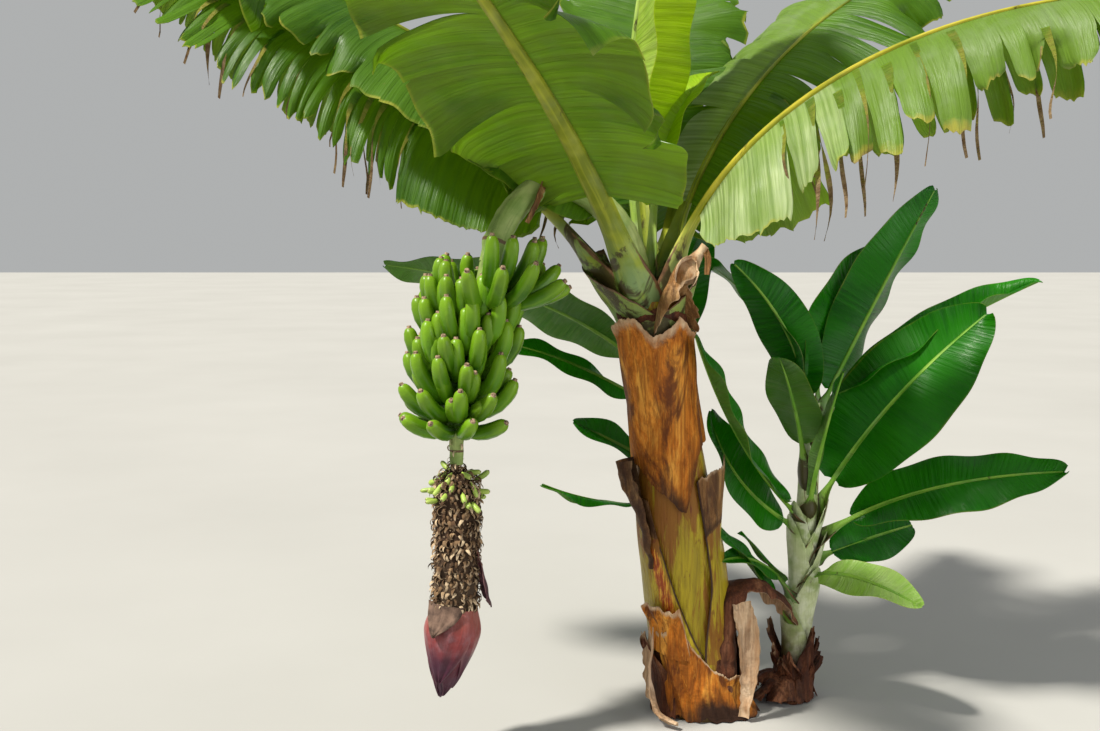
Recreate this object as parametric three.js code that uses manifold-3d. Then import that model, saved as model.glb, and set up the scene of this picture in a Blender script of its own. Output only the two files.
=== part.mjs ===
// A dwarf banana plant in fruit, with its suckers, in millimetres. +Z is up, and the origin is on the
// ground at the centre of the main stem's foot. Seen from the front (along +Y), the bunch hangs on the left.
import * as THREE from "three";
import { mergeVertices } from "three/addons/utils/BufferGeometryUtils.js";
import Module from "manifold-3d";

const wasm = await Module();
wasm.setup();

// Driving dimensions of the main stem: a column of leaf sheaths that leans towards the bunch.
const STEM = {
  height: 1130,
  leanX: -155,
  leanY: -95,
  footRadius: 118,
  waistRadius: 84,
  throatRadius: 88,
};
const CLEARANCE = 0.3; // the gap between pieces that touch
const BLADE_THICKNESS = 0.0102; // a blade's thickness as a share of its leaf's length
const END_GAP = 0.008; // where a leaf is in two stretches, the share of the blade left out at the joint
const TEAR = 2.5; // half the gap between two strips at the midrib
const RIB_SIDES = 4;
const SHORTEST_EDGE = 0.08; // shorter edges are taken out of a union

const UP = new THREE.Vector3(0, 0, 1);
const FRONT = new THREE.Vector3(0, -1, 0);
const radians = THREE.MathUtils.degToRad;
const { lerp, clamp, smoothstep } = THREE.MathUtils;

// A repeatable number from 0 to 1 for each whole number.
function chance(n) {
  const wave = Math.sin(n * 12.9898) * 43758.5453;
  return wave - Math.floor(wave);
}

// A horizontal unit vector at an angle in degrees: 0 is +X, to the right, and 90 is +Y, to the back.
function heading(degrees) {
  return new THREE.Vector3(Math.cos(radians(degrees)), Math.sin(radians(degrees)), 0);
}

// The closed solid of a three.js geometry, turned right side out.
function solidOf(geometry) {
  const bare = new THREE.BufferGeometry();
  bare.setIndex(geometry.index);
  bare.setAttribute("position", geometry.getAttribute("position"));
  const merged = mergeVertices(bare, 1e-3);
  const triangles = new Uint32Array(merged.index.array);
  const build = () =>
    new wasm.Manifold(
      new wasm.Mesh({ numProp: 3, vertProperties: merged.attributes.position.array, triVerts: triangles }),
    );
  const made = build();
  if (made.volume() > 0) return made;
  for (let i = 0; i < triangles.length; i += 3) {
    [triangles[i + 1], triangles[i + 2]] = [triangles[i + 2], triangles[i + 1]];
  }
  return build();
}

// Moves every vertex of a geometry to place(vertex), which bends a plain shape along a curve.
function bend(geometry, place) {
  const position = geometry.getAttribute("position");
  const vertex = new THREE.Vector3();
  for (let i = 0; i < position.count; i++) {
    const moved = place(vertex.fromBufferAttribute(position, i).clone());
    position.setXYZ(i, moved.x, moved.y, moved.z);
  }
  return geometry;
}

// A limb along frameAt(t), t from 0 to 1. sizeAt(t) gives its half width and half thickness.
function limb(frameAt, sizeAt, sides, steps, from = 0, to = 1) {
  const cylinder = new THREE.CylinderGeometry(1, 1, 1, sides, steps);
  return solidOf(
    bend(cylinder, (v) => {
      const t = lerp(from, to, v.y + 0.5);
      const { point, left, normal } = frameAt(t);
      const [across, thick] = sizeAt(t);
      return point.clone().addScaledVector(left, v.x * across).addScaledVector(normal, v.z * thick);
    }),
  );
}

// A plate over u and v from 0 to 1. surfaceAt(u, v) gives a point and the normal there.
function plate(surfaceAt, thickness, stepsU, stepsV) {
  const box = new THREE.BoxGeometry(1, 1, 1, stepsU, stepsV, 1);
  return solidOf(
    bend(box, (v) => {
      const { point, normal } = surfaceAt(v.x + 0.5, v.y + 0.5);
      return point.clone().addScaledVector(normal, v.z * thickness);
    }),
  );
}

// The union of some solids, with its shortest edges taken out.
function join(solids) {
  return wasm.Manifold.union(solids).simplify(SHORTEST_EDGE);
}

// The largest body of a solid that a cut has left in pieces.
function mainBody(solid) {
  return solid.decompose().sort((a, b) => b.volume() - a.volume())[0];
}

// A curve with frames, from a list of points: left and normal are square to it, and normal leans to up.
function framedCurve(points) {
  const curve = new THREE.CatmullRomCurve3(points);
  return (t) => {
    const along = curve.getTangentAt(clamp(t, 0, 1));
    const left = new THREE.Vector3().crossVectors(new THREE.Vector3(0, 1, 0), along).normalize();
    const normal = new THREE.Vector3().crossVectors(along, left);
    return { point: curve.getPointAt(clamp(t, 0, 1)), along, left, normal };
  };
}

// The main stem's axis at a height.
function stemAxis(z) {
  return new THREE.Vector3((STEM.leanX * z) / STEM.height, (STEM.leanY * z) / STEM.height, z);
}

// The stem's radius at a height: a flare at the root, a waist, and a throat that opens.
function stemRadius(z) {
  const flare = (STEM.footRadius - STEM.waistRadius) * Math.exp(-z / 260);
  const swell = 16 * Math.exp(-(((z - 430) / 260) ** 2));
  const throat = (STEM.throatRadius - STEM.waistRadius) * smoothstep(z, 780, STEM.height);
  return STEM.waistRadius + flare + swell + throat;
}

// An upright stem between two points, with level rings.
function stemSolid({ foot, top, radiusAt, sides = 10, steps = 4 }, extra = 0) {
  const frameAt = (t) => ({
    point: foot.clone().lerp(top, t),
    left: new THREE.Vector3(1, 0, 0),
    normal: new THREE.Vector3(0, 1, 0),
  });
  const sizeAt = (t) => {
    const radius = radiusAt(t * top.z) + extra;
    return [radius, radius];
  };
  return limb(frameAt, sizeAt, sides, steps);
}

// LEAVES. A leaf's midrib starts at its foot, at an azimuth and a rise, and bends down by its droop.
// Its two half blades fold up or down from the midrib, and hang by how limp they are.
// sweep turns it sideways along its length, roll tips it to one side, and strips is how many a half tears into.
const LEAF_DEFAULTS = {
  bend: 1.5,
  sweep: 0,
  roll: 0,
  fold: 12,
  foldRight: undefined,
  limp: 1.6,
  limpRight: undefined,
  shape: 0.45,
  strips: 5,
  torn: 0.5,
  ribRadius: 13,
  footWidth: 40,
  footThickness: 20,
  ribSteps: 8,
  stepWidth: 330,
  stepsOut: 3,
};

// The frame of a leaf's midrib at a share t of its length, worked out by walking along it.
function spine(leaf) {
  const steps = 60;
  const length = leaf.petiole + leaf.blade;
  const points = [leaf.foot.clone()];
  const frames = [];
  for (let i = 0; i <= steps; i++) {
    const t = i / steps;
    const rise = radians(leaf.rise - leaf.droop * t ** leaf.bend);
    const flat = heading(leaf.azimuth + leaf.sweep * t);
    const along = flat.clone().multiplyScalar(Math.cos(rise)).addScaledVector(UP, Math.sin(rise));
    const level = flat.clone().multiplyScalar(-Math.sin(rise)).addScaledVector(UP, Math.cos(rise));
    const side = new THREE.Vector3().crossVectors(level, along);
    const roll = radians(leaf.roll);
    const left = side.clone().multiplyScalar(Math.cos(roll)).addScaledVector(level, Math.sin(roll));
    const normal = new THREE.Vector3().crossVectors(along, left);
    frames.push({ along, left, normal });
    points.push(points[i].clone().addScaledVector(along, length / steps));
  }
  return (t) => {
    const place = clamp(t, 0, 1) * steps;
    const i = Math.min(Math.floor(place), steps - 1);
    const point = points[i].clone().lerp(points[i + 1], place - i);
    return { point, ...frames[Math.round(place)] };
  };
}

// Half the blade's width at a share s of its length, with a round base and a blunt tip.
function halfWidth(leaf, s) {
  return leaf.half * Math.max(Math.sin(Math.PI * clamp(s, 0, 1) ** 0.85), 0) ** leaf.shape;
}

// A point on a half blade: s along the midrib, v out to the margin. The vein there starts out from the
// midrib and sinks under its own weight, by a little more or less where a strip hangs on its own.
function bladePoint(leaf, frameAt, side, s, v, extraLimp) {
  const steps = 12;
  const t = (leaf.petiole + s * leaf.blade) / (leaf.petiole + leaf.blade);
  const { point, along, left, normal } = frameAt(t);
  const fold = radians(side < 0 ? (leaf.foldRight ?? leaf.fold) : leaf.fold);
  const limp = (side < 0 ? (leaf.limpRight ?? leaf.limp) : leaf.limp) + extraLimp;
  const slant = lerp(-0.25, 0.8, s);
  const out = left.clone().multiplyScalar(side * Math.cos(fold)).addScaledVector(normal, Math.sin(fold));
  out.addScaledVector(along, slant).normalize();
  const reach = (halfWidth(leaf, s) / steps) * v;
  for (let i = 0; i < steps; i++) {
    out.addScaledVector(UP, (-limp * reach) / 1000).normalize();
    point.addScaledVector(out, reach);
  }
  const face = new THREE.Vector3().crossVectors(along, out).normalize();
  return { point, normal: face };
}

// The strips that one half tears into: where each starts and ends, how deep it is torn, and how it hangs.
function stripsOf(leaf, side) {
  const made = [];
  const seed = leaf.seed * 31 + (side > 0 ? 0 : 17);
  for (let k = 0; k < leaf.strips; k++) {
    const jog = (i) => (i === 0 || i === leaf.strips ? 0 : (chance(seed + i) - 0.5) * 0.6);
    made.push({
      from: (k + jog(k)) / leaf.strips + TEAR / leaf.blade,
      to: (k + 1 + jog(k + 1)) / leaf.strips - TEAR / leaf.blade,
      gape: leaf.torn * lerp(0.1, 0.32, chance(seed + 100 + k)),
      limp: leaf.torn * lerp(-0.9, 1.6, chance(seed + 200 + k)),
    });
  }
  return made;
}

function ribSize(leaf, t) {
  const neck = leaf.petiole / (leaf.petiole + leaf.blade);
  if (t < neck) {
    const s = smoothstep(t / neck, 0, 0.9);
    return [lerp(leaf.footWidth, leaf.ribRadius * 1.25, s), lerp(leaf.footThickness, leaf.ribRadius, s)];
  }
  const s = (t - neck) / (1 - neck);
  return [lerp(leaf.ribRadius * 1.25, 4, s), lerp(leaf.ribRadius, 4, s)];
}

// A leaf, or the stretch of it from one share of its blade to another, as one solid.
// extra makes it thicker all over, for the hollow that a neighbour keeps clear.
function leafSolid(leaf, from = 0, to = 1, extra = 0) {
  const frameAt = spine(leaf);
  const length = leaf.petiole + leaf.blade;
  const share = (s) => (leaf.petiole + s * leaf.blade) / length;
  const start = from > 0 ? share(from) + (CLEARANCE - extra) / length : 0;
  const steps = Math.max(3, Math.round(leaf.ribSteps * (share(to) - share(from))));
  const sizeAt = (t) => ribSize(leaf, t).map((size) => size + extra);
  const parts = [limb(frameAt, sizeAt, RIB_SIDES, steps, start, share(to))];
  const thickness = length * BLADE_THICKNESS + 2 * extra;
  for (const side of [1, -1]) {
    for (const strip of stripsOf(leaf, side)) {
      const middle = (strip.from + strip.to) / 2;
      const low = Math.max(strip.from, from + (from > 0 ? END_GAP : 0.01)) - extra / leaf.blade;
      const high = Math.min(strip.to, to - (to < 1 ? END_GAP : 0.015)) + extra / leaf.blade;
      if (high - low < 0.04 + (2 * extra) / leaf.blade) continue;
      const surfaceAt = (u, v) => {
        const s = lerp(lerp(low, high, u), middle, strip.gape * v);
        return bladePoint(leaf, frameAt, side, s, v * (1 + extra * 0.01), strip.limp * v);
      };
      const across = Math.max(1, Math.round(((strip.to - strip.from) * leaf.blade) / leaf.stepWidth));
      parts.push(plate(surfaceAt, thickness, across, leaf.stepsOut));
    }
  }
  return join(parts);
}

// A leaf that hasn't torn is one bent plate: narrow along the stalk, wide along the blade, thick at the rib.
// One that is still rolled up is a tapering rod.
function wholeLeafSolid(leaf, extra = 0) {
  const frameAt = spine(leaf);
  const length = leaf.petiole + leaf.blade;
  const neck = leaf.petiole / length;
  if (leaf.rolled) {
    const radiusAt = (t) => (t < neck ? ribSize(leaf, t)[0] : Math.max(5, halfWidth(leaf, (t - neck) / (1 - neck))));
    return limb(frameAt, (t) => [radiusAt(t) + extra, radiusAt(t) + extra], 6, leaf.ribSteps);
  }
  const thickness = length * BLADE_THICKNESS + 2 * extra;
  const box = new THREE.BoxGeometry(1, 2, 2, leaf.ribSteps, leaf.stepsOut * 2, 1);
  return solidOf(
    bend(box, (v) => {
      const t = v.x + 0.5;
      const [across, thick] = ribSize(leaf, t);
      const ribHalf = Math.max(thick * (1 - Math.abs(v.y)) + extra, thickness / 2);
      if (t < neck) {
        const { point, left, normal } = frameAt(t);
        const half = Math.max(across, thickness / 2) + extra;
        return point.addScaledVector(left, v.y * half).addScaledVector(normal, v.z * ribHalf);
      }
      const s = lerp(0.03, 0.97, (t - neck) / (1 - neck));
      const side = v.y < 0 ? -1 : 1;
      const { point, normal } = bladePoint(leaf, frameAt, side, s, Math.abs(v.y) * (1 + extra * 0.01), 0);
      return point.addScaledVector(normal, v.z * side * ribHalf);
    }),
  );
}

// FRUIT. The stalk rises out of the throat, bends over and hangs: fruit, then dead flowers, then the bell.
const STALK = [
  [-172, -112, 1100], [-225, -122, 1300], [-333, -160, 1405], [-450, -220, 1412], [-535, -275, 1310],
  [-572, -300, 1160], [-611, -310, 1044], [-634, -320, 923], [-645, -320, 780], [-646, -320, 549],
  [-656, -320, 346], [-692, -320, 148],
].map((p) => new THREE.Vector3(...p));
const stalkFrame = framedCurve(STALK);
const STALK_LENGTH = new THREE.CatmullRomCurve3(STALK).getLength();

// The share of the stalk's length at which its hanging part passes a height.
function stalkShareAt(z) {
  let low = 0.35;
  let high = 1;
  for (let i = 0; i < 30; i++) {
    const middle = (low + high) / 2;
    if (stalkFrame(middle).point.z > z) low = middle;
    else high = middle;
  }
  return low;
}

const FRUIT_TOP = stalkShareAt(1230);
const FRUIT_END = stalkShareAt(740);
const FLOWERS_END = stalkShareAt(385);

// A stretch of the stalk, with a radius that tapers, and CLEARANCE left at its upper end.
function stalkPiece(from, to, radiusAt, sides, steps, extra = 0) {
  const start = from > 0 ? from + (CLEARANCE - extra) / STALK_LENGTH : 0;
  const sizeAt = (t) => {
    const radius = radiusAt((t - from) / (to - from)) + extra;
    return [radius, radius];
  };
  return limb(stalkFrame, sizeAt, sides, steps, start, to);
}

const FINGER = { radius: 17, sides: 5, steps: 3 };

// One banana: it leaves the stalk at an azimuth and a rise, and turns up along its length.
function finger(start, azimuth, rise, turn, length) {
  const flat = heading(azimuth);
  const side = new THREE.Vector3().crossVectors(UP, flat);
  const frames = [];
  const point = start.clone();
  const pieces = 24;
  for (let i = 0; i <= pieces; i++) {
    const angle = radians(rise + turn * (i / pieces));
    const along = flat.clone().multiplyScalar(Math.cos(angle)).addScaledVector(UP, Math.sin(angle));
    frames.push({ point: point.clone(), left: side, normal: new THREE.Vector3().crossVectors(along, side) });
    point.addScaledVector(along, length / pieces);
  }
  const sizeAt = (t) => {
    const radius = FINGER.radius * Math.min(1, 0.26 + t * 2.2, 0.45 + (1 - t) * 2);
    return [radius, radius];
  };
  return limb((t) => frames[Math.round(t * pieces)], sizeAt, FINGER.sides, FINGER.steps);
}

// Each hand: its height, the azimuth it faces, how far it fans out, its bananas and how they rise.
const HANDS = [
  { high: 1140, facing: -30, spread: 170, count: 11, rise: 0, turn: 72, length: 182, reach: 24 },
  { high: 1090, facing: 165, spread: 150, count: 10, rise: -5, turn: 88, length: 168, reach: 24 },
  { high: 1046, facing: 262, spread: 170, count: 10, rise: -10, turn: 92, length: 168, reach: 24 },
  { high: 982, facing: 300, spread: 220, count: 11, rise: -14, turn: 95, length: 165, reach: 22 },
  { high: 922, facing: 225, spread: 220, count: 11, rise: -12, turn: 88, length: 158, reach: 20 },
  { high: 868, facing: 310, spread: 220, count: 10, rise: -12, turn: 66, length: 150, reach: 18 },
  { high: 826, facing: 210, spread: 230, count: 9, rise: -8, turn: 40, length: 132, reach: 16 },
];

// The fruit with the stalk that it grows on. In each hand every second banana sits in the upper row.
function fruitBunch() {
  const parts = [stalkPiece(FRUIT_TOP, FRUIT_END, (t) => lerp(31, 16, t), 10, 8)];
  HANDS.forEach((hand, h) => {
    const centre = stalkFrame(stalkShareAt(hand.high)).point;
    for (let i = 0; i < hand.count; i++) {
      const upper = i % 2;
      const wander = (chance(h * 40 + i) - 0.5) * 5;
      const azimuth = hand.facing + hand.spread * (i / (hand.count - 1) - 0.5) + wander;
      const start = centre.clone().addScaledVector(heading(azimuth), hand.reach * (1 - upper * 0.2));
      start.z += upper * 32;
      const rise = hand.rise + upper * 8;
      parts.push(finger(start, azimuth, rise, hand.turn, hand.length * (1 - upper * 0.08)));
    }
  });
  return join(parts);
}

// The dead flowers are a rough sleeve, and the bell below is a pointed egg.
function flowersRadius(t) {
  return lerp(26, 62, smoothstep(t, 0, 0.28)) + 5 * Math.sin(t * 38);
}

function bellRadius(t) {
  return Math.max(4, 66 * Math.sin(Math.PI * clamp(0.24 + t * 0.76, 0, 1)) ** 0.62);
}

// SHEATHS. A shell round a stem from one azimuth to another. rim(u) gives its lower and upper heights,
// and stand(u, v) how far it stands off the stem.
function shell(stem, fromAzimuth, toAzimuth, rim, stand, thickness, stepsU, stepsV) {
  const surfaceAt = (u, v) => {
    const out = heading(lerp(fromAzimuth, toAzimuth, u));
    const [low, high] = rim(u);
    const z = lerp(low, high, v);
    const axis = stem.foot.clone().lerp(stem.top, z / stem.top.z);
    const off = stem.radiusAt(z) + thickness / 2 + 2 * CLEARANCE + stand(u, v);
    return { point: axis.addScaledVector(out, off), normal: out };
  };
  return plate(surfaceAt, thickness, stepsU, stepsV);
}

// A ribbon along a curve, with a half width, bowed across by bow.
function ribbon(points, halfWidthAt, thickness, bow, steps, facing) {
  const curve = new THREE.CatmullRomCurve3(points.map((p) => new THREE.Vector3(...p)));
  const surfaceAt = (u, v) => {
    const along = curve.getTangentAt(u);
    const across = new THREE.Vector3().crossVectors(facing, along).normalize();
    const normal = new THREE.Vector3().crossVectors(along, across);
    const w = 2 * v - 1;
    const point = curve.getPointAt(u).addScaledVector(across, w * halfWidthAt(u));
    return { point: point.addScaledVector(normal, -bow * w * w), normal };
  };
  return plate(surfaceAt, thickness, steps, 2);
}

// STEMS of the main plant and of its two suckers, which grow from the same root.
const MAIN = {
  foot: new THREE.Vector3(0, 0, 0),
  top: new THREE.Vector3(STEM.leanX, STEM.leanY, STEM.height),
  radiusAt: stemRadius,
  sides: 16,
  steps: 8,
};
const RIGHT_SUCKER = {
  foot: new THREE.Vector3(268, 60, 0),
  top: new THREE.Vector3(330, 140, 830),
  radiusAt: (z) => lerp(40, 17, clamp(z / 700, 0, 1)),
};
const BACK_SUCKER = {
  foot: new THREE.Vector3(-30, 156, 0),
  top: new THREE.Vector3(-85, 225, 900),
  radiusAt: (z) => lerp(42, 19, clamp(z / 800, 0, 1)),
};

// The crown's leaves, from the lowest and oldest to the youngest. footOut and footHigh place the foot.
const CROWN = [
  { name: "leaf_left_low", azimuth: 176, rise: 54.6, droop: 35.3, bend: 0.78, petiole: 330, blade: 1270, half: 300,
    footOut: 55, footHigh: 1120, fold: -38, foldRight: -40, limp: 4, limpRight: 4, strips: 6, torn: 1, seed: 2, split: 0.45 },
  { name: "leaf_right_arching", azimuth: -28.9, rise: 92, droop: 100.2, bend: 0.61, sweep: 5.9, petiole: 270,
    blade: 1300, half: 320, footOut: 40, footHigh: 1095, fold: -35, foldRight: -40, limp: 4, limpRight: 4.5,
    strips: 6, torn: 1, seed: 8, split: 0.5 },
  { name: "leaf_left_high", azimuth: 174, rise: 82, droop: 70.4, bend: 0.6, sweep: 5.6, petiole: 290, blade: 1250,
    half: 290, footOut: 20, footHigh: 1110, fold: -30, limp: 2, strips: 3, torn: 0.6, seed: 3, split: 0.5 },
  { name: "leaf_front", azimuth: 236.5, rise: 58, droop: 30, bend: 0.8, sweep: -7.7, petiole: 290, blade: 1230,
    half: 350, footOut: 45, footHigh: 1100, fold: 2, limp: 1, strips: 4, torn: 0.4, seed: 5, split: 0.5 },
  { name: "leaf_right_high", azimuth: 32.5, rise: 92, droop: 75, bend: 0.6, sweep: -11.6, petiole: 280, blade: 1220,
    half: 300, footOut: 40, footHigh: 1110, fold: 20, foldRight: -20, limp: 1.2, limpRight: 2.5, strips: 5, torn: 0.9,
    seed: 7, split: 0.5 },
  { name: "leaf_back_left", azimuth: 128, rise: 74, droop: 88, bend: 0.9, petiole: 290, blade: 1200, half: 290,
    footOut: 42, footHigh: 1090, limp: 2.4, fold: -10, strips: 4, torn: 0.8, seed: 11, split: 0.5 },
  { name: "leaf_back_right", azimuth: 70, rise: 70, droop: 92, bend: 1, petiole: 280, blade: 1180, half: 290,
    footOut: 42, footHigh: 1080, limp: 3, fold: -20, strips: 4, torn: 1, seed: 23, split: 0.5 },
  { name: "leaf_back", azimuth: 100, rise: 72, droop: 40.3, bend: 1.33, sweep: -34.6, petiole: 290, blade: 1060,
    half: 300, footOut: 34, footHigh: 1110, fold: 8, limp: 0.8, strips: 3, torn: 0.8, seed: 14, stepsOut: 2 },
  { name: "leaf_young", azimuth: 84.3, rise: 92, droop: 64.7, bend: 1.35, sweep: -50, petiole: 260, blade: 470,
    half: 75, footOut: 26, footHigh: 1118, fold: 30, limp: 0.5, strips: 1, torn: 0, seed: 17, ribRadius: 8,
    footWidth: 18, footThickness: 12 },
  { name: "leaf_youngest", azimuth: 150.6, rise: 80.6, droop: -43.3, bend: 1.5, sweep: 4.3, petiole: 290, blade: 1060,
    half: 250, footOut: 10, footHigh: 1120, fold: 24, limp: 0.3, strips: 1, torn: 0.1, seed: 19, shape: 0.6,
    footWidth: 26, footThickness: 18, roll: 10, stepsOut: 2 },
];

const SUCKER_LEAF = { ribRadius: 6, footWidth: 16, footThickness: 9, strips: 1, torn: 0, ribSteps: 7,
  stepsOut: 1, fold: 10, limp: 1, footOut: 12, shape: 0.6 };

// The right sucker's leaves, from the top down.
const RIGHT_LEAVES = [
  { name: "sucker_leaf_upright", azimuth: -1.7, rise: 64.7, droop: 2, petiole: 70, blade: 630, half: 105, footHigh: 800,
    fold: 30, seed: 31, roll: -60, stepsOut: 2 },
  { name: "sucker_leaf_upright_back", azimuth: 31.7, rise: 92, droop: 67.2, bend: 1.31, sweep: -5.8, petiole: 75,
    blade: 480, half: 85, footHigh: 800, fold: 20, seed: 32, roll: -60 },
  { name: "sucker_leaf_right_high", azimuth: -1.9, rise: 50.3, droop: 26.3, bend: 0.5, petiole: 90, blade: 638, half: 75,
    footHigh: 780, fold: 40, seed: 33, roll: 25 },
  { name: "sucker_leaf_left_high", azimuth: 191.4, rise: 90, droop: 50.5, bend: 0.82, petiole: 80, blade: 446, half: 80,
    footHigh: 770, seed: 34, roll: 60 },
  { name: "sucker_leaf_back_left", azimuth: 135.8, rise: 92, droop: 64.4, bend: 0.66, sweep: 7.1, petiole: 120,
    blade: 504, half: 130, footHigh: 740, seed: 35, roll: 30 },
  { name: "sucker_leaf_small_left", azimuth: 236.8, rise: 72.1, droop: 19.4, bend: 1.08, sweep: -5.8, petiole: 130,
    blade: 298, half: 75, footHigh: 600, seed: 36 },
  { name: "sucker_leaf_rolled", azimuth: -80.1, rise: 69.8, droop: 10.3, bend: 1.14, sweep: 6.2, petiole: 60,
    blade: 410, half: 13, footHigh: 520, rolled: true, seed: 37 },
  { name: "sucker_leaf_right_large", azimuth: -12.6, rise: 65.6, droop: 24.8, bend: 0.84, petiole: 130, blade: 624,
    half: 150, footHigh: 500, fold: 5, seed: 38, roll: 65, stepsOut: 2 },
  { name: "sucker_leaf_front_left", azimuth: 216.4, rise: 38.1, droop: -28.6, bend: 1.09, sweep: 3.5, petiole: 90,
    blade: 618, half: 70, footHigh: 500, fold: 25, seed: 39, roll: -45 },
  { name: "sucker_leaf_left_dark", azimuth: 202.4, rise: 29.1, droop: -47.6, bend: 1.29, sweep: 4.5, petiole: 70,
    blade: 419, half: 85, footHigh: 470, seed: 40, roll: -60 },
  { name: "sucker_leaf_right_low", azimuth: -13.1, rise: 52.2, droop: 49.2, bend: 0.5, sweep: 4.2, petiole: 150,
    blade: 587, half: 100, footHigh: 420, fold: 5, seed: 41, roll: 42, stepsOut: 2 },
  { name: "sucker_leaf_back_low", azimuth: 24.8, rise: 12, droop: 4.9, petiole: 90, blade: 300, half: 75, footHigh: 380,
    seed: 42, roll: 50 },
  { name: "sucker_leaf_sunlit", azimuth: -57.3, rise: 48.1, droop: 71.3, bend: 0.5, sweep: 20, petiole: 60, blade: 329,
    half: 60, footHigh: 330, seed: 43, roll: 35 },
  { name: "sucker_leaf_narrow", azimuth: 210.8, rise: 49.1, droop: 2, petiole: 110, blade: 367, half: 30, footHigh: 210,
    seed: 44, roll: -40 },
  { name: "sucker_leaf_narrow_back", azimuth: 196.3, rise: 50.8, droop: 2, petiole: 60, blade: 210, half: 25,
    footHigh: 280, seed: 45 },
  { name: "sucker_leaf_small_low", azimuth: 214.2, rise: 58.2, droop: 67.6, bend: 1.39, petiole: 120, blade: 238,
    half: 40, footHigh: 260, seed: 46, roll: -30 },
];

// The leaves of the sucker behind the main stem, from the top down.
const BACK_LEAVES = [
  { name: "back_sucker_leaf_long", azimuth: 188.5, rise: 60.8, droop: 54.4, bend: 0.5, petiole: 120, blade: 777,
    half: 105, footHigh: 850, fold: 5, seed: 51, roll: 40, stepsOut: 2 },
  { name: "back_sucker_leaf_light", azimuth: 199.7, rise: 31.8, droop: 21.1, petiole: 110, blade: 444, half: 60,
    footHigh: 790, fold: -5, seed: 52, roll: -30 },
  { name: "back_sucker_leaf_dark", azimuth: 212.3, rise: 30, droop: 6.4, petiole: 110, blade: 260, half: 50,
    footHigh: 620, seed: 53, roll: -50 },
  { name: "back_sucker_leaf_low", azimuth: 211.6, rise: 7.6, droop: -18.4, petiole: 130, blade: 319, half: 32,
    footHigh: 520, fold: -10, seed: 54 },
  { name: "back_sucker_leaf_rear", azimuth: 70, rise: 66, droop: 50, petiole: 120, blade: 520, half: 90,
    footHigh: 860, seed: 55 },
];

// PLANT: every named mesh, and the hollow that each one keeps clear of the next.
const plant = new THREE.Group();
const hollows = [];

function material(colour, roughness = 0.6) {
  return new THREE.MeshStandardMaterial({ color: new THREE.Color(...colour), roughness, metalness: 0 });
}

const looks = {
  sheath: material([0.42, 0.3, 0.1], 0.7),
  drySheath: material([0.45, 0.26, 0.11], 0.85),
  deadLeaf: material([0.3, 0.17, 0.1], 0.9),
  leaf: material([0.16, 0.33, 0.08], 0.45),
  youngLeaf: material([0.3, 0.5, 0.08], 0.45),
  stalk: material([0.35, 0.45, 0.18], 0.5),
  fruit: material([0.3, 0.5, 0.07], 0.4),
  driedFlowers: material([0.33, 0.22, 0.12], 0.95),
  bell: material([0.25, 0.07, 0.1], 0.5),
};

function boxesMeet(a, b) {
  const p = a.boundingBox();
  const q = b.boundingBox();
  return [0, 1, 2].every((i) => p.min[i] < q.max[i] && q.min[i] < p.max[i]);
}

// Adds make(0) to the plant, less the hollows of what is there, and keeps make(CLEARANCE) as its own hollow.
function add(name, make, look) {
  const whole = make(0);
  const cut = hollows.reduce((rest, hollow) => (boxesMeet(rest, hollow) ? rest.subtract(hollow) : rest), whole);
  const body = mainBody(cut.simplify(SHORTEST_EDGE));
  const { vertProperties, triVerts, numProp } = body.getMesh();
  const positions = new Float32Array((vertProperties.length / numProp) * 3);
  for (let i = 0; i < positions.length / 3; i++) {
    positions.set(vertProperties.subarray(i * numProp, i * numProp + 3), i * 3);
  }
  const geometry = new THREE.BufferGeometry();
  geometry.setAttribute("position", new THREE.BufferAttribute(positions, 3));
  geometry.setIndex(new THREE.BufferAttribute(triVerts, 1));
  geometry.computeVertexNormals();
  const mesh = new THREE.Mesh(geometry, look);
  mesh.name = name;
  plant.add(mesh);
  hollows.push(make(CLEARANCE));
}

function addLeaf(row, stem, defaults, look) {
  const leaf = { ...LEAF_DEFAULTS, ...defaults, ...row };
  const share = leaf.footHigh / stem.top.z;
  leaf.foot = stem.foot.clone().lerp(stem.top, share).addScaledVector(heading(leaf.azimuth), leaf.footOut);
  if (leaf.split) {
    add(leaf.name + "_inner", (extra) => leafSolid(leaf, 0, leaf.split, extra), look);
    add(leaf.name + "_outer", (extra) => leafSolid(leaf, leaf.split, 1, extra), look);
  } else {
    const make = leaf.strips > 1 ? (extra) => leafSolid(leaf, 0, 1, extra) : (extra) => wholeLeafSolid(leaf, extra);
    add(leaf.name, make, look);
  }
}

add("pseudostem", (extra) => stemSolid(MAIN, extra), looks.sheath);
add("sucker_stem", (extra) => stemSolid(RIGHT_SUCKER, extra), looks.stalk);
add("back_sucker_stem", (extra) => stemSolid(BACK_SUCKER, extra), looks.stalk);

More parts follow.
